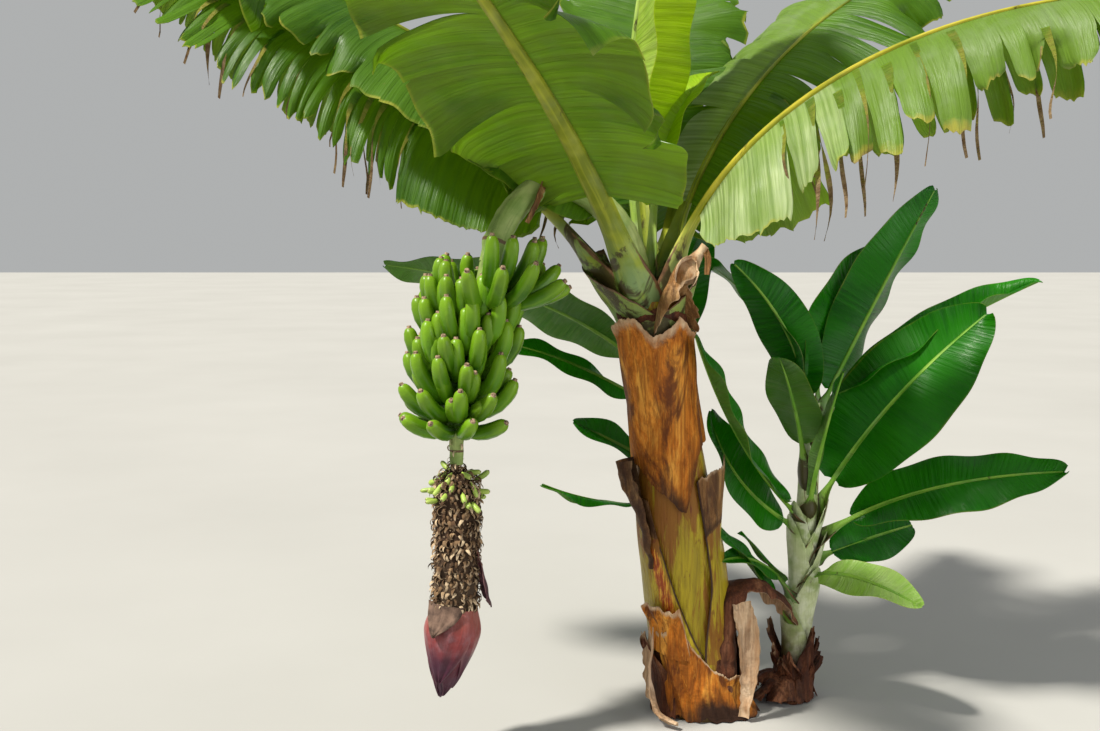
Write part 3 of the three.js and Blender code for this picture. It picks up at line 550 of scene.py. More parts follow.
def half_blade(bm, leaf, frame_at, side, finish):
    edges, depths, hang = strip_edges(leaf, side)
    seed = leaf["seed"]
    for k, (gape, limp, luck) in enumerate(hang):
        low, high = max(edges[k], leaf["starts"]), min(edges[k + 1], BLADE_END)
        if high - low < NARROWEST:
            continue
        middle = (low + high) / 2
        across = max(3, round((high - low) * leaf["blade"] / leaf["pitch"]))
        torn_out = max(0.0, 1 - max(depths[k], depths[k + 1]))

        def free(v):
            """How far each side of the strip hangs loose, from 0 to 1."""
            return [smooth(v, d, max(d + 0.25, 0.6)) if d < 1 else np.zeros_like(v) for d in (depths[k], depths[k + 1])]

        def surface(u, v):
            loose_low, loose_high = free(v)
            loose = lerp(loose_low, loose_high, u)
            s = lerp(low, high, u)
            pointed = leaf["pointed"] * lerp(0.1, 1, luck * 5 % 1) * smooth(v, 0.84, 1.04) ** 1.5
            s = lerp(s, middle, (gape * v + pointed) * loose)
            slope = u if luck * 7 % 1 > 0.5 else 1 - u
            corners = (2 * u - 1) ** 4
            ragged = np.sin(u * 9 + luck * 40) * 0.012
            ragged = ragged + leaf["fray"] * (np.sin(u * 31 + luck * 90) * 0.01 - 0.02 * corners)
            short = lerp(-0.03, 0.1, luck * 3 % 1) + 0.16 * luck * slope + 0.07 * corners
            short = short + leaf["uneven"] * (luck * 13 % 1) ** 2
            tip = 1 - (np.minimum(loose_low, loose_high) * short + ragged) * v
            point, normal = blade_points(leaf, frame_at, side, s, v, limp * v * loose, tip)
            width = (high - low) * leaf["blade"]
            curl = width * (0.25 + 0.5 * luck) * loose * v
            lift = -curl * (2 * u - 1) ** 2 * 0.45 + curl * (2 * u - 1) * (luck * 3 % 1 - 0.5) * 1.5
            lift = lift + leaf["wave"] * v**2 * np.sin(s * leaf["blade"] * 42 + seed) * (1 - 0.5 * loose)
            lift = lift + leaf["wave"] * 1.6 * v * np.sin(s * leaf["blade"] * 13 + seed * 2.1 + v * 2)
            return point + normal * lift[:, None]

        def lie(u, v):
            s = lerp(low, high, u)
            return np.stack([leaf["petiole"] + s * leaf["blade"], v * half_width(leaf, s), v], -1)

        def tone(u, v):
            s = lerp(low, high, u)
            tip = smooth(v, 0.72, 1.05) * torn_out * (0.25 + luck) * leaf["dry"] * 2
            end = smooth(s, 0.9, 1.0) * leaf["dry"] * 1.2
            return tones_of(np.clip(tip + end, 0, 1), np.full_like(u, luck), s)

        lay(bm, across, leaf["rows"], surface, lie, tone, finish, flip=side < 0)
    for k in range(1, len(edges) - 1):
        if depths[k] < 0.6 and chance(seed * 5 + side * 9 + k * 1.7) < leaf["shreds"]:
            shred(bm, leaf, frame_at, side, edges[k], depths[k], chance(seed + k), finish)


def shred(bm, leaf, frame_at, side, at, start, luck, finish):
    """A dry thread of blade that has come away at a tear and hangs lower than its neighbours."""

    def surface(u, v):
        out = lerp(start, lerp(0.9, 1.2, luck), v)
        s = at + (u - 0.5) * lerp(0.008, 0.02, luck) * (1 - 0.7 * v) * np.cos(v * 5 * luck)
        s = s + 0.008 * np.sin(v * 7 + luck * 9) * v
        point, normal = blade_points(leaf, frame_at, side, s, out, v * (1 + 4 * luck), 1.0)
        return point + normal * ((0.012 * np.sin(v * 9 + luck * 20) + 0.006) * v)[:, None]

    def tone(u, v):
        return tones_of(0.35 + 0.65 * v, np.full_like(u, luck), np.full_like(u, 0.5))

    lay(bm, 2, 12, surface, lambda u, v: np.stack([v, v * 0.3, v], -1), tone, finish)


def rib_ring(width, thick, channel, sheath, corner):
    """Across and up for the corners of a stalk's section: round below and hollow above, or where it is still
    a sheath, a thin crescent round the stem."""
    x, y = np.cos(corner), np.sin(corner)
    upper = 0.3 + 0.12 * np.abs(x) - channel * (1 - (x / 0.97) ** 2)
    stalk = np.where(y < 0, y, np.minimum(y * 3, 1) * upper)
    crescent = -1 + 2.3 * x**2 + np.where(y < 0, 0, 0.1 + 0.5 * (1 - x**2))
    return x * width, lerp(stalk, crescent, sheath) * thick


CLOSER = 1.25  # over 1, the rings lie closer together near the foot
RIB_END = 0.0022  # how thick a midrib ends, in metres


def rib(bm, leaf, frame_at, finish, sides=20, rings=50):
    length = leaf["petiole"] + leaf["blade"]
    neck = leaf["petiole"] / length

    def sizes(t):
        grown = smooth(t / neck, 0.12, 1.0)
        at_stalk = lerp(leaf["foot_width"], leaf["rib"] * 1.25, grown), lerp(leaf["foot_thick"], leaf["rib"], grown)
        s = np.clip((t - neck) / (1 - neck), 0, 1)
        on_blade = lerp(leaf["rib"] * 1.25, RIB_END, s), lerp(leaf["rib"], RIB_END, s)
        return [np.where(t < neck, a, b) for a, b in zip(at_stalk, on_blade)]

    def surface(u, v):
        t = lerp(-0.1 * neck / 0.2, 0.985, v**CLOSER)
        point, along, left, normal = frame_at(t)
        below = np.minimum(t, 0)[:, None] * length
        width, thick = sizes(t)
        sheath = 1 - smooth(t / neck, 0.1, 0.75)
        channel = lerp(1.05, 0.25, smooth(t / neck, 0.3, 1.05))
        x, y = rib_ring(width, thick, channel, sheath, u * 2 * np.pi)
        out = heading(leaf["azimuth"]) * (sheath * leaf["foot_thick"] * 0.9)[:, None]
        point = point + leaf["stem_way"] * below + out * smooth(t, -0.06, 0.02)[:, None]
        return point + left * x[:, None] + normal * y[:, None]

    def lie(u, v):
        return np.stack([v * length, u * 0.06, u], -1)

    def tone(u, v):
        from_rim = np.minimum((u * 2) % 1, 1 - (u * 2) % 1)
        reach = v**CLOSER * length / leaf["petiole"]
        rim = bell_curve(from_rim, 0, 0.11) * (1 - smooth(reach, 0.8, 1.4))
        foot = 1 - smooth(reach, 0.7, 1.5)
        return tones_of(np.clip(rim * 0.95 + foot * 0.1, 0, 1), u, foot)

    lay(bm, sides, rings, surface, lie, tone, finish, closed=True)


BLADE_WALL = 0.0014  # metres
WELD = 0.00015  # strips that still share an edge are joined there


def make_leaf(name, leaf, stem, finishes, slot, *nodes):
    """One whole leaf: two torn half blades with a wall, on a channelled stalk."""
    leaf = {**LEAF, **leaf}
    share = leaf["foot_high"] / stem["top"][2]
    leaf["foot"] = lerp(stem["foot"], stem["top"], share) + heading(leaf["azimuth"]) * leaf["out"]
    leaf["stem_way"] = unit(stem["top"] - stem["foot"])
    frame_at = spine(leaf)
    bm = new_mesh()
    for side in (1, -1):
        # One half blade may take CROWN_LIT, which is painted sunlight on that half.
        half_blade(bm, leaf, frame_at, side, 3 if side == leaf["waxed"] else 0)
    bmesh.ops.remove_doubles(bm, verts=bm.verts[:], dist=WELD)
    tops = {face: face.material_index for face in bm.faces}
    for face in thicken(bm, BLADE_WALL):
        face.material_index = 1
    for face in bm.faces:
        if face in tops:
            face.material_index = tops[face]
        if leaf["turned"]:
            face.material_index = 1 - face.material_index
    rib(bm, leaf, frame_at, 2)
    piece(name, bm, finishes, slot, *nodes)
# %% [markdown]
# ## The stems' places
# Three stems rise from one root: the main pseudostem, which leans towards its bunch, and two suckers. The
# leaves need them first, because a leaf's foot is placed by a height on its stem.

# %% Stems
MAIN = dict(foot=np.array([0, 0, 0.0]), top=np.array([-0.155, -0.095, 1.13]))
RIGHT = dict(foot=np.array([0.268, 0.06, 0.0]), top=np.array([0.33, 0.14, 0.83]))
BACK = dict(foot=np.array([-0.03, 0.156, 0.0]), top=np.array([-0.085, 0.225, 0.9]))


def main_radius(z):
    flare = 0.034 * np.exp(-z / 0.26)
    swell = 0.016 * bell_curve(z, 0.43, 0.26)
    return 0.084 + flare + swell + 0.004 * smooth(z, 0.78, 1.13)


MAIN["radius"] = main_radius
RIGHT["radius"] = lambda z: lerp(0.04, 0.017, np.clip(z / 0.7, 0, 1))
BACK["radius"] = lambda z: lerp(0.042, 0.019, np.clip(z / 0.8, 0, 1))

# %% [markdown]
# ## The crown
# Ten leaves leave the throat. The two lowest on either side are the oldest: they hang, and are torn into
# ribbons. The one over the front is seen from below, still nearly whole. The two youngest stand up, lime green
# and unmarked. Each entry is one leaf of the CAD, with how finely it tears and how dry it is.

# %% Crown
CROWN = [
    dict(name="left_low", azimuth=176, rise=54.6, droop=35.3, bend=0.78, petiole=0.33, blade=1.27, half=0.3, out=0.055,
         foot_high=1.12, fold=-38, fold_right=-40, limp=4, limp_right=4, strips=6, torn=1, seed=2, fine=7, dry=0.12,
         whole=0.3, deep=0.15, gap=0.1, loose=2.6, shreds=0.15, pointed=0.32, fray=1, uneven=0.12,
         rib=0.02, foot_width=0.076, foot_thick=0.031),
    dict(name="right_arching", azimuth=-28.9, rise=92, droop=100.2, bend=0.61, sweep=5.9, petiole=0.27, blade=1.3,
         half=0.32, foot_high=1.095, fold=-35, fold_right=-40, limp=4, limp_right=4.5, strips=6, torn=1, seed=8, fine=3,
         whole=0.22, dry=0.5, deep=0.16, gap=0.16, loose=5.5, waxed=-1, shreds=0.6, pointed=0.35, fray=1.6, uneven=0.3),
    dict(name="left_high", azimuth=174, rise=82, droop=70.4, bend=0.6, sweep=5.6, petiole=0.29, blade=1.25, half=0.29,
         out=0.02, foot_high=1.11, fold=-30, limp=2, strips=3, torn=0.5, seed=3, fine=5, dry=0.12,
         whole=0.5, deep=0.55, gap=0.06, pointed=0.3),
    dict(name="front", azimuth=236.5, rise=58, droop=30, bend=0.8, sweep=-7.7, petiole=0.29, blade=1.23, half=0.35,
         out=0.045, foot_high=1.1, fold=2, limp=1, strips=4, torn=0.4, seed=5, fine=2.6, starts=0.065, dry=0.12,
         rib=0.025, gap=0.03, deep=0.7),
    dict(name="right_high", azimuth=32.5, rise=92, droop=75, bend=0.6, sweep=-11.6, petiole=0.28, blade=1.22, half=0.3,
         foot_high=1.11, fold=20, fold_right=-20, limp=1.2, limp_right=2.5, strips=5, torn=0.9, seed=7, fine=3, dry=0.2,
         deep=0.3, loose=2.8, waxed=1, shreds=0.2, pointed=0.35, fray=1),
    dict(name="back_left", azimuth=128, rise=74, droop=88, bend=0.9, petiole=0.29, blade=1.2, half=0.29, out=0.042,
         foot_high=1.09, limp=2.4, fold=-10, strips=4, torn=0.8, seed=11, fine=6.5, dry=0.2, shreds=0.2, deep=0.45,
         gap=0.07, pointed=0.3, fray=1),
    dict(name="back_right", azimuth=70, rise=70, droop=92, bend=1, petiole=0.28, blade=1.18, half=0.29, out=0.042,
         foot_high=1.08, limp=3, fold=-20, strips=4, torn=1, seed=23, fine=7, dry=0.35, shreds=0.3, deep=0.3, gap=0.1,
         loose=3, pointed=0.3, fray=1),
    dict(name="back", azimuth=100, rise=72, droop=40.3, bend=1.33, sweep=-34.6, petiole=0.29, blade=1.06, half=0.3,
         out=0.034, foot_high=1.11, fold=8, limp=0.8, strips=3, torn=0.8, seed=14, fine=6, dry=0.2, deep=0.55, gap=0.06,
         pointed=0.3, fray=1, shreds=0.12),
]
OLD = (CROWN_TOP, CROWN_UNDER, CROWN_RIB, CROWN_LIT)
for row in CROWN:
    node = "leaf_" + row["name"]
    nodes = [node] if row["name"] == "back" else [node + "_inner", node + "_outer"]
    finishes = (CROWN_TOP, CROWN_UNDER, GOLD_RIB, CROWN_LIT) if row["name"] == "right_arching" else OLD
    make_leaf("frond_" + row["name"], row, MAIN, finishes, "leaf", *nodes)

YOUNG = (YOUNG_TOP, YOUNG_UNDER, YOUNG_RIB)
make_leaf("frond_young", dict(azimuth=84.3, rise=92, droop=64.7, bend=1.35, sweep=-50, petiole=0.26, blade=0.47,
          half=0.075, out=0.026, foot_high=1.118, fold=30, limp=0.5, strips=1, torn=0, seed=17, rib=0.008,
          foot_width=0.018, foot_thick=0.012), MAIN, YOUNG, "young_leaf", "leaf_young")
make_leaf("frond_youngest", dict(azimuth=150.6, rise=80.6, droop=-43.3, bend=1.5, sweep=4.3, petiole=0.29, blade=1.06,
          half=0.25, out=0.01, foot_high=1.12, fold=24, limp=0.3, strips=1, torn=0.1, seed=19, shape=0.6, roll=10,
          foot_width=0.026, foot_thick=0.018, dry=0), MAIN, YOUNG, "young_leaf", "leaf_youngest")

# %% [markdown]
# ## The suckers' leaves
# A sucker's leaves have hardly met the wind: they are whole, dark and glossy above, with pale midribs, and
# their edges ripple. Each one is rolled about its midrib by its own angle, as the photograph shows.

# %% Sucker leaves
SMALL = dict(rib=0.0058, foot_width=0.028, foot_thick=0.013, strips=1, torn=0, fold=10, limp=1, out=0.012, shape=0.6,
             wave=0.007, dry=0.05, rows=12, pitch=0.012)


def sucker_row(name, azimuth, rise, droop, petiole, blade, half, foot_high, seed, **more):
    return dict(name=name, azimuth=azimuth, rise=rise, droop=droop, petiole=petiole, blade=blade, half=half,
                foot_high=foot_high, seed=seed, **{**SMALL, **more})


RIGHT_LEAVES = [
    sucker_row("upright", -1.7, 64.7, 2, 0.07, 0.63, 0.105, 0.8, 31, fold=30, roll=-60, turned=True),
    sucker_row("upright_back", 31.7, 92, 67.2, 0.075, 0.48, 0.085, 0.8, 32, bend=1.31, sweep=-5.8, fold=20, roll=-60,
               turned=True),
    sucker_row("right_high", -1.9, 50.3, 26.3, 0.09, 0.638, 0.075, 0.78, 33, bend=0.5, fold=40, roll=25),
    sucker_row("left_high", 191.4, 90, 50.5, 0.08, 0.446, 0.08, 0.77, 34, bend=0.82, roll=60, turned=True),
    sucker_row("back_left", 135.8, 92, 64.4, 0.12, 0.504, 0.13, 0.74, 35, bend=0.66, sweep=7.1, roll=30, turned=True),
    sucker_row("small_left", 236.8, 72.1, 19.4, 0.13, 0.298, 0.075, 0.6, 36, bend=1.08, sweep=-5.8),
    sucker_row("rolled", -80.1, 69.8, 10.3, 0.06, 0.41, 0.03, 0.52, 37, bend=1.14, sweep=6.2, fold=68, limp=0),
    sucker_row("right_large", -12.6, 65.6, 24.8, 0.13, 0.624, 0.15, 0.5, 38, bend=0.84, fold=5, roll=65),
    sucker_row("front_left", 216.4, 38.1, -28.6, 0.09, 0.618, 0.07, 0.5, 39, bend=1.09, sweep=3.5, fold=25, roll=-45),
    sucker_row("left_dark", 202.4, 29.1, -47.6, 0.07, 0.419, 0.085, 0.47, 40, bend=1.29, sweep=4.5, roll=-60),
    sucker_row("right_low", -13.1, 52.2, 49.2, 0.15, 0.587, 0.1, 0.42, 41, bend=0.5, sweep=4.2, fold=5, roll=42),
    sucker_row("back_low", 24.8, 12, 4.9, 0.09, 0.3, 0.075, 0.38, 42, roll=50),
    sucker_row("sunlit", -57.3, 48.1, 71.3, 0.06, 0.329, 0.06, 0.33, 43, bend=0.5, sweep=20, roll=35),
    sucker_row("narrow", 210.8, 49.1, 2, 0.11, 0.367, 0.03, 0.21, 44, roll=-40),
    sucker_row("narrow_back", 196.3, 50.8, 2, 0.06, 0.21, 0.025, 0.28, 45),
    sucker_row("small_low", 214.2, 58.2, 67.6, 0.12, 0.238, 0.04, 0.26, 46, bend=1.39, roll=-30),
]
BACK_LEAVES = [
    sucker_row("long", 188.5, 60.8, 54.4, 0.12, 0.777, 0.105, 0.85, 51, bend=0.5, fold=5, roll=40),
    sucker_row("light", 199.7, 31.8, 21.1, 0.11, 0.444, 0.06, 0.79, 52, fold=-5, roll=-30),
    sucker_row("dark", 212.3, 30, 6.4, 0.11, 0.26, 0.05, 0.62, 53, roll=-50),
    sucker_row("low", 211.6, 7.6, -18.4, 0.13, 0.319, 0.032, 0.52, 54, fold=-10),
    sucker_row("rear", 70, 66, 50, 0.12, 0.52, 0.09, 0.86, 55),
]
GLOSSY = (SUCKER_TOP, SUCKER_UNDER, SUCKER_RIB)
for row in RIGHT_LEAVES:
    finishes = (SUNLIT_TOP, YOUNG_UNDER, SUCKER_RIB) if row["name"] == "sunlit" else GLOSSY
    make_leaf("sucker_frond_" + row["name"], row, RIGHT, finishes, "leaf", "sucker_leaf_" + row["name"])
for row in BACK_LEAVES:
    make_leaf("back_sucker_frond_" + row["name"], row, BACK, GLOSSY, "leaf", "back_sucker_leaf_" + row["name"])

# %% [markdown]
# ## The main stem
# The trunk is no wood: it is the bases of old leaves wrapped round each other. Underneath, a living column
# shows yellow-green with brown weeping stains and long fibres. Its relief comes from real overlaps: each
# sheath is a thin shell that wraps part of the way round, with a torn, slightly lifted edge.


# %% Sheath finishes
def upright_fibres(f, across, along, detail, **more):
    """Long upright fibres, in Object coordinates."""
    return f.noise(1.0, f.stretched((across, across, along)), detail, **more)


def living_sheath():
    f = Finish("living_sheath", 0.42)
    fibres = upright_fibres(f, 150, 2.0, 4)
    patch = f.noise(4.0, f.stretched((1, 1, 0.35)), 4, warp=0.4)
    colour = f.ramp(patch, (0.32, (0.2, 0.15, 0.008)), (0.46, (0.46, 0.35, 0.014)), (0.62, (0.78, 0.6, 0.04)))
    colour = f.tint(colour, f.step(fibres, 0.42, 0.7), 0.5, (0.17, 0.11, 0.008))
    high = f.height()
    stain = f.noise(15.0, f.stretched((1.6, 1.6, 0.2)), 8, rough=0.72, warp=0.6)
    stain = f.maths("ADD", stain, f.times(f.step(high, 0.4, 0.62), 0.1))
    colour = f.tint(colour, f.step(stain, 0.48, 0.6), 0.82, (0.2, 0.05, 0.008))
    drops = f.noise(38.0, f.stretched((1, 1, 0.5)), 3)
    colour = f.tint(colour, f.step(drops, 0.64, 0.7), 0.75, (0.14, 0.03, 0.008))
    streaks = f.noise(1.0, f.stretched((210, 210, 7)), 6, rough=0.7)
    rust = f.ramp(streaks, (0.36, (0.16, 0.022, 0.004)), (0.5, (0.4, 0.07, 0.008)), (0.62, (0.72, 0.4, 0.04)))
    colour = f.mix(f.step(f.loosened(f.dry, streaks, 2.4), 0.35, 0.75), colour, rust)
    # The extra note darkens towards near black: painted shade in the crevices at the flaps' front edges, and darker
    # places low on the right flap and at the back sheath's edges.
    darkening = f.noise(30, f.stretched((1, 1, 0.3)), 6, rough=0.7)
    colour = f.mix(f.step(f.loosened(f.extra, darkening, 0.9), 0.45, 0.9), colour, (0.045, 0.018, 0.008))
    # Darker towards the ground.
    darker_near_ground = f.step(f.maths("ADD", high, f.times(f.noise(14, detail=5), 0.16)), 0.22, 0.1)
    colour = f.tint(colour, darker_near_ground, 0.9, (0.07, 0.028, 0.012))
    ridge = f.bump(fibres, 0.004)
    ridge = f.bump(upright_fibres(f, 420, 5, 2), 0.0008, ridge)
    return f.done(colour, ridge, f.step(stain, 0.5, 0.7, 0.36, 0.6))


def dry_sheath(name, dark, middle, pale, stain=0.6):
    f = Finish(name, 0.66, 0.22)
    fibres = upright_fibres(f, 130, 2.2, 5, warp=0.2)
    fine = upright_fibres(f, 520, 12, 3)
    patch = f.noise(13.0, f.stretched((1, 1, 0.33)), 6, rough=0.68, warp=0.8)
    colour = f.ramp(patch, (0.32, dark), (0.5, middle), (0.68, pale))
    colour = f.tint(colour, f.step(fibres, 0.44, 0.6), 0.65, shaded(middle, 0.4))
    colour = f.tint(colour, f.step(fine, 0.52, 0.7), 0.35, pale)
    blot = f.noise(7.0, f.stretched((1.5, 1.5, 0.4)), 6, rough=0.7, warp=0.9)
    colour = f.tint(colour, f.step(blot, 0.52, 0.62), stain, shaded(dark, 0.75))
    faded = f.loosened(f.dry, f.noise(24, detail=5, rough=0.6), 0.9)
    straw = f.ramp(f.noise(45, f.stretched((1, 1, 0.3)), 4), (0.35, (0.36, 0.2, 0.1)), (0.65, (0.66, 0.5, 0.33)))
    colour = f.tint(colour, f.step(faded, 0.45, 0.95), 0.92, straw)
    # The extra note darkens towards near black: painted shade at the right flap's front edge and on the dark sheet by
    # the foot, stains at the wrap's lower point, and darker dead places elsewhere.
    dark_notes = f.noise(26, f.stretched((1, 1, 0.35)), 6, rough=0.68)
    colour = f.mix(f.step(f.loosened(f.extra, dark_notes, 0.7), 0.35, 0.8), colour, (0.035, 0.014, 0.007))
    ridge = f.bump(f.noise(16, detail=6, rough=0.6, warp=0.6), 0.012)
    ridge = f.bump(fibres, 0.003, ridge)
    ridge = f.bump(fine, 0.0008, ridge)
    return f.done(colour, ridge, f.step(blot, 0.45, 0.65, 0.75, 0.55))


LIVING = living_sheath()
ORANGE_SHEATH = dry_sheath("orange_sheath", (0.11, 0.022, 0.003), (0.52, 0.155, 0.012), (0.8, 0.38, 0.06), 0.85)
BROWN_SHEATH = dry_sheath("brown_sheath", (0.07, 0.026, 0.01), (0.27, 0.125, 0.04), (0.52, 0.33, 0.15), 0.7)
PALE_SHEATH = dry_sheath("pale_sheath", (0.3, 0.15, 0.07), (0.52, 0.33, 0.19), (0.7, 0.54, 0.38), 0.3)
DEAD = dry_sheath("dead_leaf", (0.025, 0.007, 0.004), (0.11, 0.032, 0.013), (0.27, 0.115, 0.055), 0.6)

# %% [markdown]
# ## The living column
# A tube of rings follows the leaning axis. Low spiral steps give it the edges of the buried sheaths, three on
# the main stem and two on a sucker, and soft noise stops it looking turned on a lathe.


# %% Column
def axis_at(stem, z):
    return lerp(stem["foot"], stem["top"], (z / stem["top"][2])[:, None])


def column(name, stem, high, sides, rings, steps, slope, depth, finish, slot, *nodes):
    bm = new_mesh()

    def surface(u, v):
        z = v * high
        spiral = (u * steps + z * slope) % 1.0
        relief = depth * (smooth(spiral, 0, 0.12) - 0.6 * spiral)
        place = axis_at(stem, z)
        out = heading(u * 360)
        radius = stem["radius"](z) + relief - depth * 0.5
        swellings = rough(place + out * radius[:, None], 9, 1, (1, 1, 0.3)) * 0.05
        wrinkles = rough(place + out * 0.1, 40, 4, (1, 1, 0.2)) * 0.02
        return place + out * (radius * (1 + (swellings + wrinkles)))[:, None]

    def lie(u, v):
        return np.stack([v * high, u * 0.6, v], -1)

    lay(bm, sides, rings, surface, lie, closed=True)
    bmesh.ops.holes_fill(bm, edges=[e for e in bm.edges if e.is_boundary], sides=0)
    outward(bm)
    piece(name, bm, (finish,), slot, *nodes)


column("stem_column", MAIN, 1.13, 120, 130, 3, 1.3, 0.007, LIVING, "sheath", "pseudostem")

# %% [markdown]
# ## Sheaths that wrap round
# A shell covers the stem between two azimuths. Its lower and upper rims, how far it stands off, and even its
# azimuths may change along the way, so one rule gives the whole wrap, the loose flaps and the peeled foot. The
# rims are ragged, and the wall is thin.

# %% Shells
SHEATH_WALL = 0.0022  # thicknesses in metres
STOUT_WALL = 0.003
THIN_WALL = 0.002
PAPERY_WALL = 0.0016
CLEARANCE = 0.003  # from a stem to the shells on it
OFF_GROUND = 0.004  # no rim hangs lower than this


def noted(edge):
    """Makes a rule for tones of edge(u, v), which gives how dry and how dark each place is."""

    def tone(u, v):
        dry, dark = edge(u, v) if edge else (0, 0)
        return tones_of(np.clip(dry + 0 * u, 0, 1), u, np.clip(dark + 0 * u, 0, 1))

    return tone


def shell(bm, stem, azimuths, rims, stand, columns, rows, finish=0, ragged=0.012, seed=0, edge=None, buckle=0.004):
    """azimuths(v), rims(u) and stand(u, v) shape the shell; edge(u, v) gives its dry and dark notes."""

    def torn_at(a):
        return noise.noise(Vector((a * 9, seed * 3.7, 0))) + 0.4 * noise.noise(Vector((a * 70, seed, 5)))

    def surface(u, v):
        start, end = azimuths(v)
        low, high = rims(u)
        torn = np.array([torn_at(a) for a in u])
        z = np.maximum(lerp(low - torn * ragged, high + torn * ragged, v), OFF_GROUND)
        out = heading(lerp(start, end, u))
        place = axis_at(stem, z)
        creases = rough(place + out * 0.1, 24, seed, (1, 1, 0.35)) * buckle
        radius = stem["radius"](z) + CLEARANCE + stand(u, v) + creases
        return place + out * radius[:, None]

    lay(bm, columns, rows, surface, lambda u, v: np.stack([v, u, v], -1), noted(edge), finish)


def wall(bm, thickness=SHEATH_WALL):
    """Gives every open sheet in the mesh a wall."""
    outward(bm)
    thicken(bm, thickness)


def finish_above(bm, share):
    """Gives the second finish to the faces of the first that lie above a share of their shell's height."""
    lie = bm.verts.layers.float_vector["lie"]
    for face in bm.faces:
        if face.material_index == 0 and sum(vert[lie][0] for vert in face.verts) / len(face.verts) > share:
            face.material_index = 1


def line_through(xs, ys):
    """A line through given points, for rims."""
    return lambda x: np.interp(x, xs, ys)


# %% [markdown]
# ## Scrolls and ribbons
# Dead sheaths and leaves twist as they dry. A scroll runs along a curve: its section is an arc with a radius,
# an opening angle and a twist that may each change on the way, so one rule gives a flat strip, a gutter or a
# tube.


# %% Scroll
def curve_frames(points, up=UP):
    """A smooth curve through the points, with frames that turn as little as they can."""
    knots = np.array(points, float)
    padded = np.vstack([2 * knots[0] - knots[1], knots, 2 * knots[-1] - knots[-2]])
    dense = []
    for i in range(1, len(knots)):
        a, b, c, d = padded[i - 1 : i + 3]
        for t in np.arange(12) / 12:
            bent = 2 * b + (c - a) * t + (2 * a - 5 * b + 4 * c - d) * t**2
            dense.append(0.5 * (bent + (3 * b - a - 3 * c + d) * t**3))
    dense = np.array(dense + [knots[-1]])
    steps = np.concatenate([[0], np.cumsum(np.linalg.norm(np.diff(dense, axis=0), axis=1))])
    along = unit(np.gradient(dense, axis=0))
    side = np.empty_like(along)
    side[0] = unit(np.cross(np.array(up, float), along[0]))
    for i in range(1, len(along)):
        side[i] = unit(side[i - 1] - along[i] * np.dot(side[i - 1], along[i]))

    def frame_at(t):
        s = np.clip(t, 0, 1) * steps[-1]
        point, a, b = (np.stack([np.interp(s, steps, xyz[:, k]) for k in range(3)], -1) for xyz in (dense, along, side))
        return point, unit(a), unit(b), np.cross(unit(a), unit(b))

    return frame_at, steps[-1]


def scroll(bm, points, radius, opening, twist, columns, rows, finish=0, up=UP, ragged=0.0, seed=0, edge=None,
           buckle=0.003):
    """radius, opening and twist are rules of v, or numbers where they stay the same all the way."""
    frame_at, length = curve_frames(points, up)

    def surface(u, v):
        r, open_by, turned = (rule(v) if callable(rule) else np.full_like(v, rule) for rule in (radius, opening, twist))
        point, along, side, normal = frame_at(v)
        half, turned = np.radians(open_by) / 2, np.radians(turned)
        torn = np.array([noise.noise(Vector((b * 14, seed, a * 3))) for a, b in zip(u, v)]) * ragged
        angle = (2 * u - 1) * half * (1 + torn)
        x, y = np.sin(angle) * r, (np.cos(angle) - 1) * r + r * (1 - np.cos(half)) * 0.5
        across = side * np.cos(turned)[:, None] + normal * np.sin(turned)[:, None]
        upward = -side * np.sin(turned)[:, None] + normal * np.cos(turned)[:, None]
        placed = point + across * x[:, None] + upward * y[:, None]
        placed = placed + upward * (rough(placed, 30, seed) * buckle)[:, None]
        placed[:, 2] = np.maximum(placed[:, 2], OFF_GROUND)
        return placed

    return lay(bm, columns, rows, surface, lambda u, v: np.stack([v * length, u, v], -1), noted(edge), finish)


# %% [markdown]
# ### The orange wrap
# It hugs the upper half of the stem, from a torn, bleached lip at the throat down to a dark wet point at the
# front. Its rims are drawn as lines over the azimuth.

# %% Orange wrap
wrap_low = line_through([0, 0.2, 0.33, 0.43, 0.5, 0.53, 0.58, 0.66, 0.8, 1],
                        [0.72, 0.7, 0.675, 0.63, 0.585, 0.58, 0.64, 0.73, 0.76, 0.78])
wrap_high = line_through([0, 0.2, 0.3, 0.4, 0.47, 0.53, 0.62, 0.7, 1],
                         [1.03, 1.06, 1.085, 1.08, 1.045, 1.05, 1.09, 1.06, 1.04])
bm = new_mesh()
shell(bm, MAIN, lambda v: (130, 410), lambda u: (wrap_low(u), wrap_high(u)),
      lambda u, v: 0.007 + 0.003 * v + 0.012 * smooth(v, 0.9, 1.02),
      150, 60, seed=3, ragged=0.014, buckle=0.007,
      edge=lambda u, v: (smooth(v, 0.84, 1.0) * 0.9, (1 - smooth(v, 0.0, 0.3)) * (0.75 - 1.6 * np.abs(u - 0.5))))
wall(bm)
piece("dry_wrap", bm, (ORANGE_SHEATH,), "dry_sheath", "dry_sheath_wrap")

# %% [markdown]
# ### The throat
# Above the wrap the oldest leaves' own sheaths still clasp the younger ones. Each is a cone that opens with its
# leaf's stalk, so its wall leans out as it climbs. Two of them cross in front in a dark V, and their margins
# have dried to thin brown hems. A dead collar closes the gap below.

